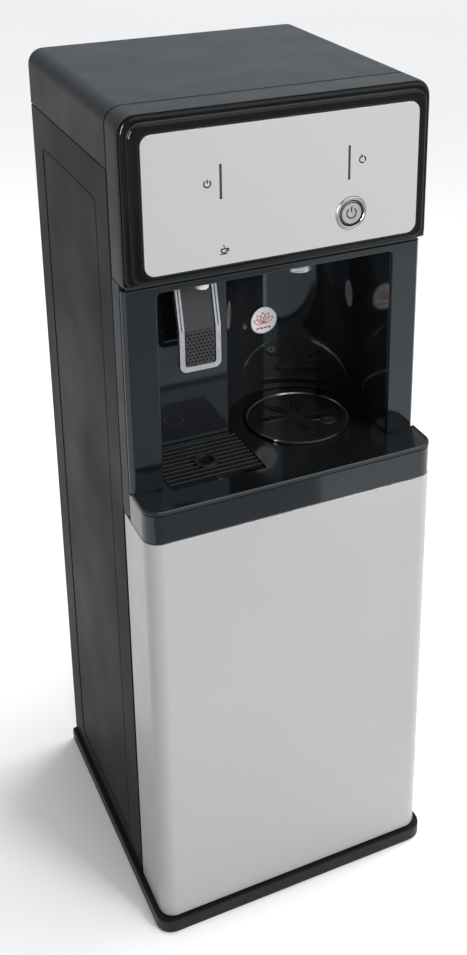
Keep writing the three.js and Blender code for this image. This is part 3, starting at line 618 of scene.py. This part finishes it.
def add_camera():
    data = bpy.data.cameras.new("camera")
    data.lens = 48.23
    data.shift_x = -0.0539
    data.shift_y = -0.2539
    data.clip_end = 100
    camera = bpy.data.objects.new("camera", data)
    back = Vector((
        sin(VIEW_AZIMUTH) * cos(VIEW_ELEVATION),
        -cos(VIEW_AZIMUTH) * cos(VIEW_ELEVATION),
        sin(VIEW_ELEVATION),
    ))
    camera.location = VIEW_AIM + back * VIEW_DISTANCE
    camera.rotation_euler = facing(back)
    scene.camera = show(camera)


def add_area_light(name, location, aim, size, power, color=(1, 1, 1)):
    data = bpy.data.lights.new(name, "AREA")
    data.shape = "RECTANGLE"
    data.size, data.size_y = size
    data.energy = power
    data.color = color
    light = show(bpy.data.objects.new(name, data))
    light.location = location
    light.rotation_euler = facing(Vector(location) - Vector(aim))
    return light


def add_world():
    scene.view_settings.view_transform = "Standard"
    world = bpy.data.worlds.new("studio")
    world.use_nodes = True
    background = world.node_tree.nodes["Background"]
    background.inputs["Color"].default_value = (0.95, 0.97, 1.0, 1)
    background.inputs["Strength"].default_value = 0.5
    scene.world = world


def add_sheet(name, corners, height, material):
    """A flat face of the stage."""
    points = [(x, y, height) for x, y in corners]
    sheet = show(bpy.data.objects.new(name, mesh_from(points, [tuple(range(len(points)))])))
    sheet.data.materials.append(material)
    return sheet


def add_floor():
    reach = 30
    add_sheet("floor", [(-reach, -reach), (reach, -reach), (reach, reach), (-reach, reach)], 0, pale_floor())


def add_lights():
    sun = bpy.data.lights.new("soft_sky", "SUN")
    sun.energy = 1.9
    sun.angle = radians(80)
    sky = show(bpy.data.objects.new("soft_sky", sun))
    sky.rotation_euler = facing((0.45, -0.5, 0.9))

    softbox = (0.9, 0.9)
    overhead = add_area_light("overhead", (0.6, 0.3, 2.1), (0, 0, 0.9), softbox, 30)
    key = add_area_light("key", (1.1, -2.2, 2.2), (0, -0.15, 0.95), softbox, 5.4)
    key.data.spread = radians(40)
    overhead.visible_glossy = key.visible_glossy = False


def add_card():
    """A grey card on the floor, seen only in reflections, shades the left of the front."""
    near, far, step_back = -0.75, -2.6, -1.95
    left, right = -1.6, 1.3
    split, slant = -0.02, 0.47
    corners = [
        (split - slant * near, near),
        (left, near),
        (left, far),
        (right, far),
        (right, step_back),
        (split - slant * step_back, step_back),
    ]
    card = add_sheet("card", corners, 5 * MM, card_grey())
    card.visible_camera = card.visible_diffuse = card.visible_shadow = False


def add_glint():
    """A tall warm lamp at the left, for the highlights on rounded gloss trim."""
    strip = (0.2, 1.3)
    warm = (1, 0.86, 0.68)
    glint = add_area_light("glint", (-1.66, -0.46, 1.44), (-0.17, -0.15, 0.98), strip, 140, warm)
    glint.visible_diffuse = False
    return glint


def light_only(lamp, names):
    """The lamp shines on these pieces and no others."""
    catchers = bpy.data.collections.new("glint_catchers")
    for name in names:
        catchers.objects.link(bpy.data.objects[name])
    lamp.light_linking.receiver_collection = catchers


add_camera()
add_world()
add_floor()
add_lights()
add_card()
glint_lamp = add_glint()

# ---------------- pieces that keep their node's shape

EDGE_WIDTHS = {  # millimetres of rounding, and the nodes that get it
    0.2: ("window_left", "window_right"),
    0.3: ("cabinet_deck", "hot_tank", "control_board"),
    0.4: (
        "rear_panel", "niche_ceiling", "lever_pin", "lever_bracket", "cabinet_floor", "power_switch",
        "panel_carrier",
    ),
    0.5: (
        "top_cover", "drip_pan", "door_strike", "power_inlet", "rear_rocker", "hinge_pin_lower",
        "hinge_pin_upper",
    ),
    0.6: ("lever_paddle", "lever_switch", "front_post_left", "front_post_right"),
    0.8: (
        "side_strip_left", "side_strip_right", "niche_liner", "drain_plug", "tank_stand", "control_panel",
    ),
    0.9: ("door_panel",),
    1: (
        "foot_front_left", "foot_front_right", "foot_rear_left", "foot_rear_right", "door_liner",
        "magnet_catch", "tap_valve", "power_board",
    ),
    1.1: ("shelf_tray",),
    1.3: ("niche_frame",),
    1.6: ("lever_trim",),
    2: ("water_pump",),
    2.6: ("base_plinth",),
}
OWN_MATERIAL = {
    "base_plinth": plinth_black,
    "lever_trim": trim_metal,
    # the bay's lighter copy of the piano black is painted light
    "niche_liner": bay_black_painted_light,
    "shelf_tray": shelf_black,
}


def add_kept_shapes():
    for width, names in EDGE_WIDTHS.items():
        for node in names:
            finished_copy(node, width, OWN_MATERIAL.get(node))
    for node in ("lever_spring", "pump_pipe", "tap_pipe"):
        materials = nodes[node].data.materials
        materials.clear()
        materials.append(finish[slot_of[node]])


# ---------------- steel side panels


def add_side_panel(node, side):
    """Sheet with a large pressed rectangle, and a fold line round the pressing."""
    low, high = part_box(node)
    outer = high.x if side > 0 else -low.x
    sheet = 1.2 * MM
    front, back = low.y + 1.4 * MM, high.y  # shadow gaps at the front and the top
    bottom, top = low.z, high.z - 0.8 * MM
    pressing = (low.y + 43.6 * MM, high.y - 39.6 * MM, low.z + 23.6 * MM, high.z - 43.6 * MM)
    corner = 10 * MM

    def at_depth(outline, depth):
        return [(side * (outer - depth), y, z) for y, z in outline]

    def edge(inset, depth):
        outline = rounded_rect(front + inset, back - inset, bottom + inset, top - inset, sheet, sheet)
        return at_depth(outline, depth)

    def press(grow, depth):
        left, right, below, above = pressing
        radius = corner + grow
        outline = rounded_rect(left - grow, right + grow, below - grow, above + grow, radius, radius)
        return at_depth(outline, depth)

    rings = [
        edge(0, sheet),
        edge(0, 0.5 * MM),
        edge(0.15 * MM, 0.15 * MM),
        edge(0.5 * MM, 0),
        press(2.2 * MM, 0),
        press(1.8 * MM, 0.2 * MM),
        press(1.1 * MM, 2.1 * MM),
        press(-0.9 * MM, 2.1 * MM),
        press(-1.7 * MM, 0.7 * MM),
        press(-2.6 * MM, 0.4 * MM),
    ]
    crisp(new_piece(node, node + "_sheet", solid(rings)))


# ---------------- cabinet seams and rear details

rear_low, rear_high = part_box("rear_panel")
sheet_low, sheet_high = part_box("side_panel_right")


def add_cover_lips():
    """Near-black strips inside the cabinet that close the sight line through the seam under the top cover, a
    painted shadow in the seam.
    """
    reach = 7 * MM
    front, back = sheet_low.y + 1 * MM, sheet_high.y - 1.5 * MM
    strips = []
    for side in (-1, 1):
        left, right = sorted((side * (sheet_low.x - 1.4 * MM), side * (sheet_low.x - 0.2 * MM)))
        outline = small_rect(left, right, sheet_high.z - reach, sheet_high.z + reach, 0.4 * MM)
        strips.append(solid(slices(outline, (front, back))))
    crisp(add_beside("top_cover", "cover_lips", join_meshes(strips), painted_shadow_black))


def add_rear_screws():
    """Dished screw heads down both edges of the rear panel."""
    rows = 5
    edge, end = 7 * MM, 14 * MM
    radius, dish = 3.6 * MM, 1.2 * MM
    back = rear_high.y
    profile = [(TINY, back - 0.4 * MM), (radius, back - 0.4 * MM), (radius, back + 0.3 * MM)]
    profile += quarter((radius, back + 0.3 * MM), (dish + 0.2 * MM, back + 1.5 * MM), 5)
    profile += [(dish, back + 0.7 * MM), (TINY, back + 0.7 * MM)]
    screws = []
    for side in (-1, 1):
        for row in range(rows):
            z = rear_low.z + end + (rear_high.z - rear_low.z - 2 * end) * row / (rows - 1)
            screws.append(turned(profile, (side * (rear_high.x - edge), z), "Y", 20))
    add_beside("rear_panel", "rear_screws", join_meshes(screws), slot="steel")


def add_corner_folds():
    """Flanges inside the rear corners, where the side panels meet the rear panel."""
    flange = 8 * MM
    folds = []
    for side in (-1, 1):
        left, right = sorted((side * (sheet_low.x - flange), side * sheet_low.x))
        outline = rounded_rect(left, right, rear_low.y - flange, rear_low.y, 0.6 * MM, 0.05 * MM, 3)
        folds.append(solid(layers(outline, (rear_low.z + 2.4 * MM, rear_high.z))))
    crisp(add_beside("rear_panel", "corner_folds", join_meshes(folds)))


def add_inlet_pins():
    """Three flat pins in the socket of the mains inlet, beside the switch."""
    inlet_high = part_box("power_inlet")[1]
    inlet_x, z = centre_of("power_inlet", "xz")
    socket_x = inlet_x + 13 * MM
    pitch = 6 * MM
    half_wide, half_tall = 1.15 * MM, 2.15 * MM
    length = 10 * MM
    tips = inlet_high.y - 4.5 * MM
    pins = []
    for place in (-1, 0, 1):
        x = socket_x + place * pitch
        outline = small_rect(x - half_wide, x + half_wide, z - half_tall, z + half_tall, 0.5 * MM)
        pins.append(solid(slices(outline, (tips - length, tips))))
    crisp(add_beside("power_inlet", "inlet_pins", join_meshes(pins), slot="steel"))


def add_rocker_marks():
    """On and off marks on the two slopes of the rear switch."""
    low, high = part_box("rear_rocker")
    x = (low.x + high.x) / 2
    z = centre_of("power_inlet", "xz")[1]
    half = (high.z - low.z) / 2
    crest, valley = high.y, high.y - 1.2 * MM

    def on_rocker(lift):
        def place(px, pz):
            share = abs(pz - z) / half
            return (px, valley + (crest - valley) * share + lift, pz)
        return place

    marks = [
        ribbon([(x, z + half * 0.3), (x, z + half * 0.75)], 0.9 * MM),
        ribbon(arc_points(x, z - half * 0.52, 1.9 * MM, 0, ALMOST_ROUND, 20), 0.8 * MM),
    ]
    mesh = plate_mesh(marks, on_rocker(0.08 * MM), on_rocker(-0.2 * MM))
    add_beside("rear_rocker", "rocker_marks", mesh, slot="white_plastic")


# ---------------- control head

HEAD_BORDER = head_high.x - panel_high.x  # from the head's side to the control panel


def ring_of_head(inset, y, low_corner=7 * MM):
    """The head's outline at a depth, shrinking evenly to the control panel's as the inset grows."""
    share = inset / HEAD_BORDER
    low = head_low.z + (panel_low.z - head_low.z) * share
    high = head_high.z + (panel_high.z - head_high.z) * share
    low_radius = low_corner + (11 * MM - low_corner) * max(share, 0)
    high_radius = (18 - 7 * share) * MM
    left, right = head_low.x + inset, head_high.x - inset
    return slices(rounded_rect(left, right, low, high, low_radius, high_radius, 14), [y])[0]


def head_tube(profile):
    """A profile of (inset, y) points carried round the head, whose low corners are nearly sharp."""
    rings = [ring_of_head(inset, y, 1.5 * MM) for inset, y in profile]
    return loft(rings, close_loop=True)


def add_head_shell():
    """The shell, up to a shadow gap before the top cover, and the near-black ring in that gap, a painted
    shadow.
    """
    wall = 4 * MM
    lip = 0.9 * MM
    shoulder = 4.6 * MM
    front, back = head_low.y, head_high.y - 2.8 * MM
    profile = quarter((0, front), (1 * MM, front - shoulder), 5)
    profile += [(1.6 * MM, front - shoulder + 0.2 * MM), (1.8 * MM, front), (wall, front + lip)]
    profile += quarter((wall, back - lip), (wall - lip, back), 4)
    profile += quarter((lip, back), (0, back - lip), 4, False)
    new_piece("head_frame", "head_shell", head_tube(profile))

    # Painted shadow: a near-black ring sunk in the gap.
    sunk, deep = 0.3 * MM, 2.6 * MM
    gap_front, gap_back = head_high.y - 3.8 * MM, head_high.y + 0.35 * MM
    profile = [(sunk, gap_front), (sunk, gap_back), (deep, gap_back), (deep, gap_front)]
    add_beside("head_frame", "head_gap_shadow", head_tube(profile), painted_shadow_black)


def add_head_border():
    """Two rounded steps from the head's side in to the control panel."""
    low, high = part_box("control_bezel")
    back = high.y
    face = low.y

    def at(inset, depth):
        return (inset * MM, face + depth * MM)

    profile = [(2.2 * MM, back)]
    profile += quarter(at(1.9, 11.6), at(5, 5.9), 8)  # outer step
    profile += quarter(at(8, 5.2), at(9, 4.4), 3, False)
    profile += quarter(at(9, 3.8), at(12.2, 0.7), 8)  # inner step
    profile += quarter(at(17.4, 0), at(19.2, 1.6), 4, False)
    profile += [at(19.2, 5), at(15, 8), at(9, 11), (5 * MM, back)]
    rings = [ring_of_head(inset, y) for inset, y in profile]
    new_piece("control_bezel", "head_border", loft(rings, close_loop=True), border_black)


# ---------------- controls

button_low, button_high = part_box("power_button")
button_x, button_z = centre_of("button_ring", "xz")
CAP_RADIUS = (button_high.x - button_low.x) / 2
CAP_DISH = 0.5 * MM


def add_button_ring():
    low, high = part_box("button_ring")
    outer = (high.x - low.x) / 2
    inner = CAP_RADIUS + 1.1 * MM
    profile = [(outer, high.y)]
    profile += quarter((outer, low.y + 1.5 * MM), (outer - 1.2 * MM, low.y), 6)
    profile += quarter((inner + 1.1 * MM, low.y), (inner, low.y + 2.4 * MM), 6, False)
    profile += [(inner, high.y)]
    ring = turned(profile, (button_x, button_z), "Y", 72)
    new_piece("button_ring", "button_ring_turned", ring, ring_metal)


def on_cap(lift):
    """Puts (x, z) points on the cap's dished face, lifted off it."""
    def place(x, z):
        share = hypot(x - button_x, z - button_z) / CAP_RADIUS
        return (x, button_low.y + CAP_DISH * (1 - share ** 2) - lift, z)
    return place


def add_button_cap():
    """The dished cap, its standby mark and the dark line round its edge."""
    cap, face = CAP_RADIUS, button_low.y
    profile = [(0.01 * MM, face + CAP_DISH)]
    profile += [(cap * share, face + CAP_DISH * (1 - share ** 2)) for share in (0.25, 0.5, 0.7)]
    profile += [(cap - 1.6 * MM, face + 0.1 * MM)]
    profile += quarter((cap - 0.8 * MM, face), (cap, face + 0.8 * MM), 5, False)
    profile += [(cap, button_high.y), (0.01 * MM, button_high.y)]
    disc = turned(profile, (button_x, button_z), "Y", 72)
    new_piece("power_button", "button_cap", disc, cap_silver)

    mark = standby_mark(button_x, button_z, cap * 0.42, 1.4 * MM, 32, (0.2, 1.3), 28)
    edge = ribbon(arc_points(button_x, button_z, cap * 0.92, 0, ALMOST_ROUND, 64), 1.3 * MM)
    for name, outlines in (("button_mark", mark), ("button_edge_line", [edge])):
        mesh = plate_mesh(outlines, on_cap(PRINT), on_cap(-0.2 * MM))
        add_beside("power_button", name, mesh, print_dark)


def standby_mark(x, z, radius, line, opening, bar, steps):
    """A circle with an opening at the top, and a bar between two shares of its radius."""
    return [
        ribbon(arc_points(x, z, radius, 90 + opening, 450 - opening, steps), line),
        ribbon([(x, z + radius * bar[0]), (x, z + radius * bar[1])], line),
    ]


def cup_mark(x, z, line):
    """A steaming cup on a saucer."""
    half = 3.6 * MM
    saucer = z - 3.9 * MM
    bowl = arc_points(x, z + 1.6 * MM, half, 180, 360, 14, 1.2)
    return [
        ribbon(bowl + [bowl[0]], line),
        ribbon(arc_points(x + half, z + 0.2 * MM, 1.6 * MM, -80, 80, 10), line * 0.8),
        ribbon([(x - 4.6 * MM, saucer), (x + 3.2 * MM, saucer)], line * 0.8),
        ribbon(arc_points(x - 1.2 * MM, z + 4 * MM, 1.4 * MM, 100, -60, 8), line * 0.7),
    ]


def refill_mark(x, z, line):
    """Two arcs chasing each other, and an arrow head."""
    radius = 3.6 * MM
    tip_x, tip_z = x - 0.2 * MM, z + radius
    barb_x, barb = tip_x - 1.4 * MM, 1.7 * MM
    return [
        ribbon(arc_points(x, z, radius, 100, 300, 18), line),
        ribbon(arc_points(x, z, radius * 0.95, -40, 70, 12), line),
        ribbon([(barb_x, tip_z + barb), (tip_x, tip_z), (barb_x, tip_z - barb)], line),
    ]


def add_panel_marks():
    """Plain marks beside the windows and above the cup outlet."""
    line = 1.45 * MM
    left, right = panel_low.x, panel_high.x
    bottom, top = panel_low.z, panel_high.z
    marks = standby_mark(left + 68.4 * MM, top - 57.5 * MM, 3.7 * MM, line, 35, (0.1, 1.2), 24)
    marks += cup_mark(left + 85.4 * MM, bottom + 15.7 * MM, line)
    marks += refill_mark(right - 67.4 * MM, top - 55.5 * MM, line)
    mesh = plate_mesh(
        marks,
        lambda x, z: (x, panel_low.y - PRINT, z),
        lambda x, z: (x, panel_low.y + PRINT, z),
    )
    add_beside("control_panel", "panel_marks", mesh, print_dark)


# ---------------- niche

plate_low, plate_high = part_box("kettle_plate")
rim_low, rim_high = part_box("kettle_ring")
kettle_x, kettle_y = centre_of("kettle_ring")
BAY_RADIUS, BAY_WALL = 82 * MM, 3 * MM
bay_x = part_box("niche_liner")[1].x - BAY_WALL - BAY_RADIUS


def on_bay_wall(lift):
    """Puts (x, z) points on the round wall behind the kettle, lifted off it."""
    def place(x, z):
        reach = BAY_RADIUS - lift
        return (x, kettle_y + sqrt(max(reach ** 2 - (x - bay_x) ** 2, 0)), z)
    return place


def label_disc(x, z, radius):
    """A thin disc bent to the bay wall, closed round its edge."""
    sides, spans = 40, 8
    points, faces = [], []
    for place in (on_bay_wall(0.9 * MM), on_bay_wall(0.5 * MM)):
        points.append(place(x, z))
        for span in range(1, spans + 1):
            for step in range(sides):
                angle = 2 * pi * step / sides
                reach = radius * span / spans
                points.append(place(x + reach * cos(angle), z + reach * sin(angle)))
    layer = 1 + spans * sides
    rim = 1 + (spans - 1) * sides
    for step in range(sides):
        after = (step + 1) % sides
        for base in (0, layer):
            faces.append((base, base + 1 + step, base + 1 + after))
            for span in range(spans - 1):
                here = base + 1 + span * sides
                there = here + sides
                faces.append((here + step, here + after, there + after, there + step))
        faces.append((rim + step, rim + after, layer + rim + after, layer + rim + step))
    return mesh_from(points, faces)


def petal_outline(x, z, unit, turn):
    """A petal of the label's flower, turned by an angle in degrees."""
    grow, half_width, length, sink = 1.25, 1.5, 6.6, 1.6
    cosine, sine = cos(radians(turn)), sin(radians(turn))
    outline = []
    for side, share in there_and_back(8):
        across, along = side * sin(pi * share) * half_width, length * share
        outline.append((
            x + unit * grow * (across * cosine - along * sine),
            z + unit * grow * (across * sine + along * cosine - sink),
        ))
    return outline


def add_round_label():
    """A plain disc with an outlined flower over a row of bars."""
    low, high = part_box("round_label")
    x, z = centre_of("round_label", "xz")
    radius = (high.z - low.z) / 2
    new_piece("round_label", "label_disc", label_disc(x, z, radius))

    unit = radius / 10
    red = [ribbon(petal_outline(x, z, unit, turn), 0.55 * unit) for turn in (-62, -30, 4, 38, 70)]
    bar, bar_z = 1.1 * unit, z - 5.6 * unit
    for place in (-3, -1, 1, 3):
        middle = x + place * 1.5 * unit
        red.append(ribbon([(middle - bar, bar_z), (middle + bar, bar_z)], unit * 1.3))
    mesh = plate_mesh(red, on_bay_wall(1 * MM), on_bay_wall(0.8 * MM))
    add_beside("round_label", "label_print", mesh, print_red)


def swept(section, path):
    """A closed section of (outward, height) points carried along (x, y, outward direction) stops."""
    rings = []
    for x, y, turn in path:
        out = (cos(turn), sin(turn))
        rings.append([(x + o * out[0], y + o * out[1], z) for o, z in section])
    return solid(rings)


shelf_low, shelf_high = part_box("shelf_tray")
niche_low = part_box("niche_frame")[0]
SHELF_CORNER = 20 * MM
SHELF_WALL = 3.4 * MM
SHELF_REAR = niche_low.y - 0.3 * MM


def shelf_path():
    """Round the shelf's left side, front and right side, up to the niche frame."""
    steps = 10
    path = [(shelf_low.x, SHELF_REAR, pi)]
    left, right = shelf_low.x + SHELF_CORNER, shelf_high.x - SHELF_CORNER
    for middle, start in ((left, pi), (right, pi * 1.5)):
        for step in range(steps + 1):
            turn = start + pi / 2 * step / steps
            x = middle + SHELF_CORNER * cos(turn)
            y = shelf_low.y + SHELF_CORNER + SHELF_CORNER * sin(turn)
            path.append((x, y, turn))
    path.append((shelf_high.x, SHELF_REAR, pi * 2))
    return path


def add_shelf_rim():
    """The rounded rim, and the near-black line of the seam under it, a painted shadow."""
    top = shelf_high.z
    path = shelf_path()
    inner, reach = -SHELF_WALL, 0.5 * MM
    section = [(inner, top - 3 * MM), (inner, top - 0.6 * MM), (inner + 0.7 * MM, top + 0.3 * MM)]
    section += quarter((-2.2 * MM, top + 0.5 * MM), (reach, top - 2.6 * MM), 8, False)
    section += [(reach - 0.2 * MM, top - 3.4 * MM), (-0.6 * MM, top - 3.6 * MM)]
    crisp(add_beside("shelf_tray", "shelf_rim", swept(section, path), shelf_black), 40)

    # Painted shadow: a near-black strip in the seam under the rim.
    sunk, proud = -0.8 * MM, 0.15 * MM
    line_top, line_bottom = top - 3.7 * MM, top - 5 * MM
    section = [(sunk, line_top), (proud, line_top), (proud, line_bottom), (sunk, line_bottom)]
    add_beside("shelf_tray", "shelf_rim_shadow_line", swept(section, path), painted_shadow_black)


def add_shelf_slopes():
    """At each end of the shelf the floor rises gently to the rim."""
    reach = 30 * MM
    floor = niche_low.z - 0.4 * MM
    rise = shelf_high.z - 0.4 * MM - floor
    corner = SHELF_CORNER - SHELF_WALL
    front = shelf_low.y + SHELF_WALL
    edge = shelf_high.x - SHELF_WALL
    outline = [(edge - reach, SHELF_REAR), (edge, SHELF_REAR)]
    outline += arc_points(edge - corner, front + corner, corner, 0, -90, 8)
    outline += [(edge - reach, front)]
    mirrored = [(-x, y) for x, y in reversed(outline)]

    def slope(x, y):
        return (x, y, floor + rise * (1 - (edge - abs(x)) / reach))

    mesh = plate_mesh([outline, mirrored], slope, lambda x, y: (x, y, floor - 0.3 * MM))
    crisp(add_beside("shelf_tray", "shelf_slopes", mesh, shelf_black), 3)


def add_kettle_plate():
    """The plate's gloss rim with a bright bevel inside it, its contact and its leaf motif."""
    centre = (kettle_x, kettle_y)
    outer = (rim_high.x - rim_low.x) / 2
    inner = (plate_high.x - plate_low.x) / 2
    low, high = rim_low.z, rim_high.z
    crest = inner + 2.2 * MM
    profile = [(outer, low), (outer, high - 1.4 * MM)]
    profile += quarter((outer, high - 1.4 * MM), (crest, high), 5)
    profile += [(crest, low)]
    new_piece("kettle_ring", "kettle_rim", turned(profile, centre, "Z", 96), finish["gloss_black"])
    bevel_out, bevel_in, bevel_top = crest - 0.1 * MM, inner + 0.1 * MM, high + 0.1 * MM
    profile = [(bevel_out, low), (bevel_out, bevel_top), (crest - 0.7 * MM, bevel_top)]
    profile += [(bevel_in, high - 1.3 * MM), (bevel_in, low)]
    mesh = turned(profile, centre, "Z", 96)
    crisp(add_beside("kettle_ring", "kettle_rim_bevel", mesh, rim_metal), 30)

    finished_copy("kettle_plate", 0.5, plate_glass)
    finished_copy("kettle_contact", 0.7)

    top = plate_high.z
    leaves = ((150, 0.62), (100, 0.72), (50, 0.66), (-35, 0.7), (-100, 0.6))  # degrees, share of the plate
    marks = [leaf_outline(radians(turn), length, inner) for turn, length in leaves]
    mesh = plate_mesh(
        marks,
        lambda x, y: (x, y, top + PRINT * 3),
        lambda x, y: (x, y, top - PRINT * 3),
    )
    add_beside("kettle_plate", "kettle_plate_motif", mesh, motif_black)


def leaf_outline(spine, length, plate_radius):
    """A curved leaf that starts near the plate's middle."""
    start, curl, half_width, offset = 0.12, 0.35, 0.21, 4 * MM
    outline = []
    for side, share in there_and_back(12):
        reach = plate_radius * (start + length * share)
        bend = spine + curl * share + side * half_width * sin(pi * share) / (curl + share)
        outline.append((kettle_x - offset + reach * cos(bend), kettle_y + reach * sin(bend)))
    return outline


grid_low, grid_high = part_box("drip_grid")
hole_x, hole_y = centre_of("tap_nozzle")[0], centre_of("drip_grid")[1]
HUB = 14 * MM  # outer radius of the finger hole's rim


def grid_ribs():
    """Round-topped ribs with tapered ends, broken by the finger hole."""
    count = 10
    border = 3 * MM
    base = grid_low.z
    rib = 1.8 * MM
    end_gap, taper = 0.6 * MM, 0.7 * MM
    pitch = (grid_high.y - grid_low.y - border) / count
    shoulder = grid_high.z - rib / 2
    profile = [(-rib / 2, base), (-rib / 2, shoulder)]
    profile += arc_points(0, shoulder, rib / 2, 165, 15, 6)
    profile += [(rib / 2, shoulder), (rib / 2, base)]
    left, right = grid_low.x + end_gap, grid_high.x - end_gap
    ribs = []
    for i in range(count):
        y = grid_low.y + border + (i + 1) * pitch - rib / 2 - 0.25 * MM
        away = abs(y - hole_y)
        stretches = [(left, right)]
        if away < HUB - 1 * MM:
            gap = sqrt(HUB ** 2 - away ** 2) - 1.2 * MM
            stretches = [(left, hole_x - gap), (hole_x + gap, right)]
        for start, end in stretches:
            rings = []
            for x, size in ((start, 0.5), (start + taper, 1), (end - taper, 1), (end, 0.5)):
                tall = 0.6 + 0.4 * size
                rings.append([(x, y + py * size, base + (pz - base) * tall) for py, pz in profile])
            ribs.append(solid(rings))
    return ribs


def grid_cross_bars():
    """Low bars across the ribs, under their tops."""
    half = 1.2 * MM
    bars = []
    for x in (grid_low.x + 4 * MM, hole_x - HUB - 6 * MM, hole_x + HUB + 8 * MM, grid_high.x - 12 * MM):
        outline = small_rect(x - half, x + half, grid_low.y + 6 * MM, grid_high.y - 1 * MM, 0.5 * MM)
        bars.append(solid(layers(outline, (grid_low.z - 0.2 * MM, grid_low.z + 1.1 * MM))))
    return bars


def grid_hub():
    """The raised rim of the finger hole."""
    inner = 9.5 * MM
    crest = grid_high.z + 0.4 * MM
    profile = [(inner, grid_low.z), (inner, grid_high.z - 0.6 * MM)]
    profile += quarter((inner, grid_high.z - 0.6 * MM), (inner + 1.2 * MM, crest), 4)
    profile += quarter((HUB - 1.2 * MM, crest), (HUB, grid_high.z - 0.8 * MM), 4, False)
    profile += [(HUB, grid_low.z)]
    return turned(profile, (hole_x, hole_y), "Z", 48)


def grid_tab():
    """A round rest at the front edge, before the finger hole."""
    radius = 4.5 * MM
    top = grid_high.z - 1.5 * MM
    profile = [(TINY, top - 0.5 * MM), (radius, top - 0.5 * MM)]
    profile += quarter((radius, top), (3.2 * MM, grid_high.z), 4) + [(TINY, grid_high.z)]
    return turned(profile, (hole_x, grid_low.y + 2.4 * MM), "Z", 24)


def add_drip_grid():
    """Rounded ribs across low bars, broken by a finger hole with a raised rim, under the cup outlet."""
    parts = grid_ribs() + grid_cross_bars() + [grid_hub(), grid_tab()]
    crisp(new_piece("drip_grid", "drip_grid_ribs", join_meshes(parts), grid_black), 50)


def add_cup_outlet():
    low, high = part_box("tap_nozzle")
    outer = (high.x - low.x) / 2
    bore = 4.2 * MM
    tip = low.z
    profile = [(bore, high.z), (bore, tip + 1 * MM)]
    profile += quarter((bore, tip + 1 * MM), (bore + 0.8 * MM, tip), 4)
    profile += quarter((bore + 1.6 * MM, tip), (outer, tip + 4.5 * MM), 8, False)
    profile += [(outer, high.z)]
    new_piece("tap_nozzle", "tap_tip", turned(profile, centre_of("tap_nozzle"), "Z", 48))


def add_kettle_outlet():
    low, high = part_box("kettle_spout")
    outer = (high.x - low.x) / 2
    bore = outer - 4 * MM
    tip = low.z
    profile = [(bore, high.z)]
    profile += quarter((bore, tip + 1.5 * MM), (bore + 1.4 * MM, tip), 5)
    profile += quarter((outer - 1.6 * MM, tip), (outer, tip + 2 * MM), 5, False)
    profile += [(outer, tip + 9 * MM), (outer - 0.6 * MM, tip + 9.6 * MM), (outer - 0.6 * MM, high.z)]
    mesh = turned(profile, centre_of("kettle_spout"), "Z", 72)
    new_piece("kettle_spout", "spout_ring", mesh, trim_metal)


# ---------------- cup lever


def add_lever_pad():
    """The rubber pad with staggered rows of raised dots, near black as painted shade of dimples."""
    finished_copy("lever_pad", 0.4)
    low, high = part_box("lever_pad")
    columns, rows = 7, 9
    radius = 1.15 * MM
    margin = 3.4 * MM
    wide, tall = high.x - low.x - 2 * margin, high.z - low.z - 2 * margin
    tip = 0.02 * MM
    profile = [(tip, low.y + 0.3 * MM), (radius, low.y + 0.3 * MM)]
    profile += quarter((radius, low.y), (tip, low.y - 0.8 * MM), 4)
    domes = []
    for row in range(rows):
        z = low.z + margin + tall * row / (rows - 1)
        shift = 0.25 if row % 2 else -0.25
        for column in range(columns):
            x = low.x + margin + wide * (column + shift) / (columns - 1)
            domes.append(turned(profile, (x, z), "Y", 14))
    add_beside("lever_pad", "lever_pad_dots", join_meshes(domes), painted_shadow_black)


def add_trim_groove_shade():
    """A fine dark line up the middle of each arm of the lever's bright trim, above its bend: painted shade
    of a groove, lying on the trim's face.
    """
    low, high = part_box("lever_trim")
    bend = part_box("lever_pad")[1].z + 3 * MM
    band = 6 * MM
    lines = []
    for x in (low.x + band / 2, high.x - band / 2):
        lines.append(ribbon([(x, bend), (x, high.z - 1 * MM)], 1.1 * MM))
    rise = (high.y - 7 * MM - low.y) / (high.z - bend)

    def on_trim(lift):
        def place(x, z):
            return (x, low.y + max(0, z - bend) * rise - lift, z)
        return place

    mesh = plate_mesh(lines, on_trim(PRINT * 2), on_trim(-0.4 * MM))
    add_beside("lever_trim", "lever_trim_groove_shade", mesh, plate_glass)


add_kept_shapes()
add_side_panel("side_panel_left", -1)
add_side_panel("side_panel_right", 1)
add_cover_lips()
add_rear_screws()
add_corner_folds()
add_inlet_pins()
add_rocker_marks()
add_drip_grid()
add_head_shell()
add_head_border()
add_button_ring()
add_button_cap()
add_panel_marks()
add_round_label()
add_shelf_rim()
add_shelf_slopes()
add_kettle_plate()
add_cup_outlet()
add_kettle_outlet()
add_lever_pad()
add_trim_groove_shade()

light_only(
    glint_lamp,
    ("head_border", "kettle_rim", "kettle_rim_bevel", "button_ring_turned", "tap_tip", "spout_ring"),
)
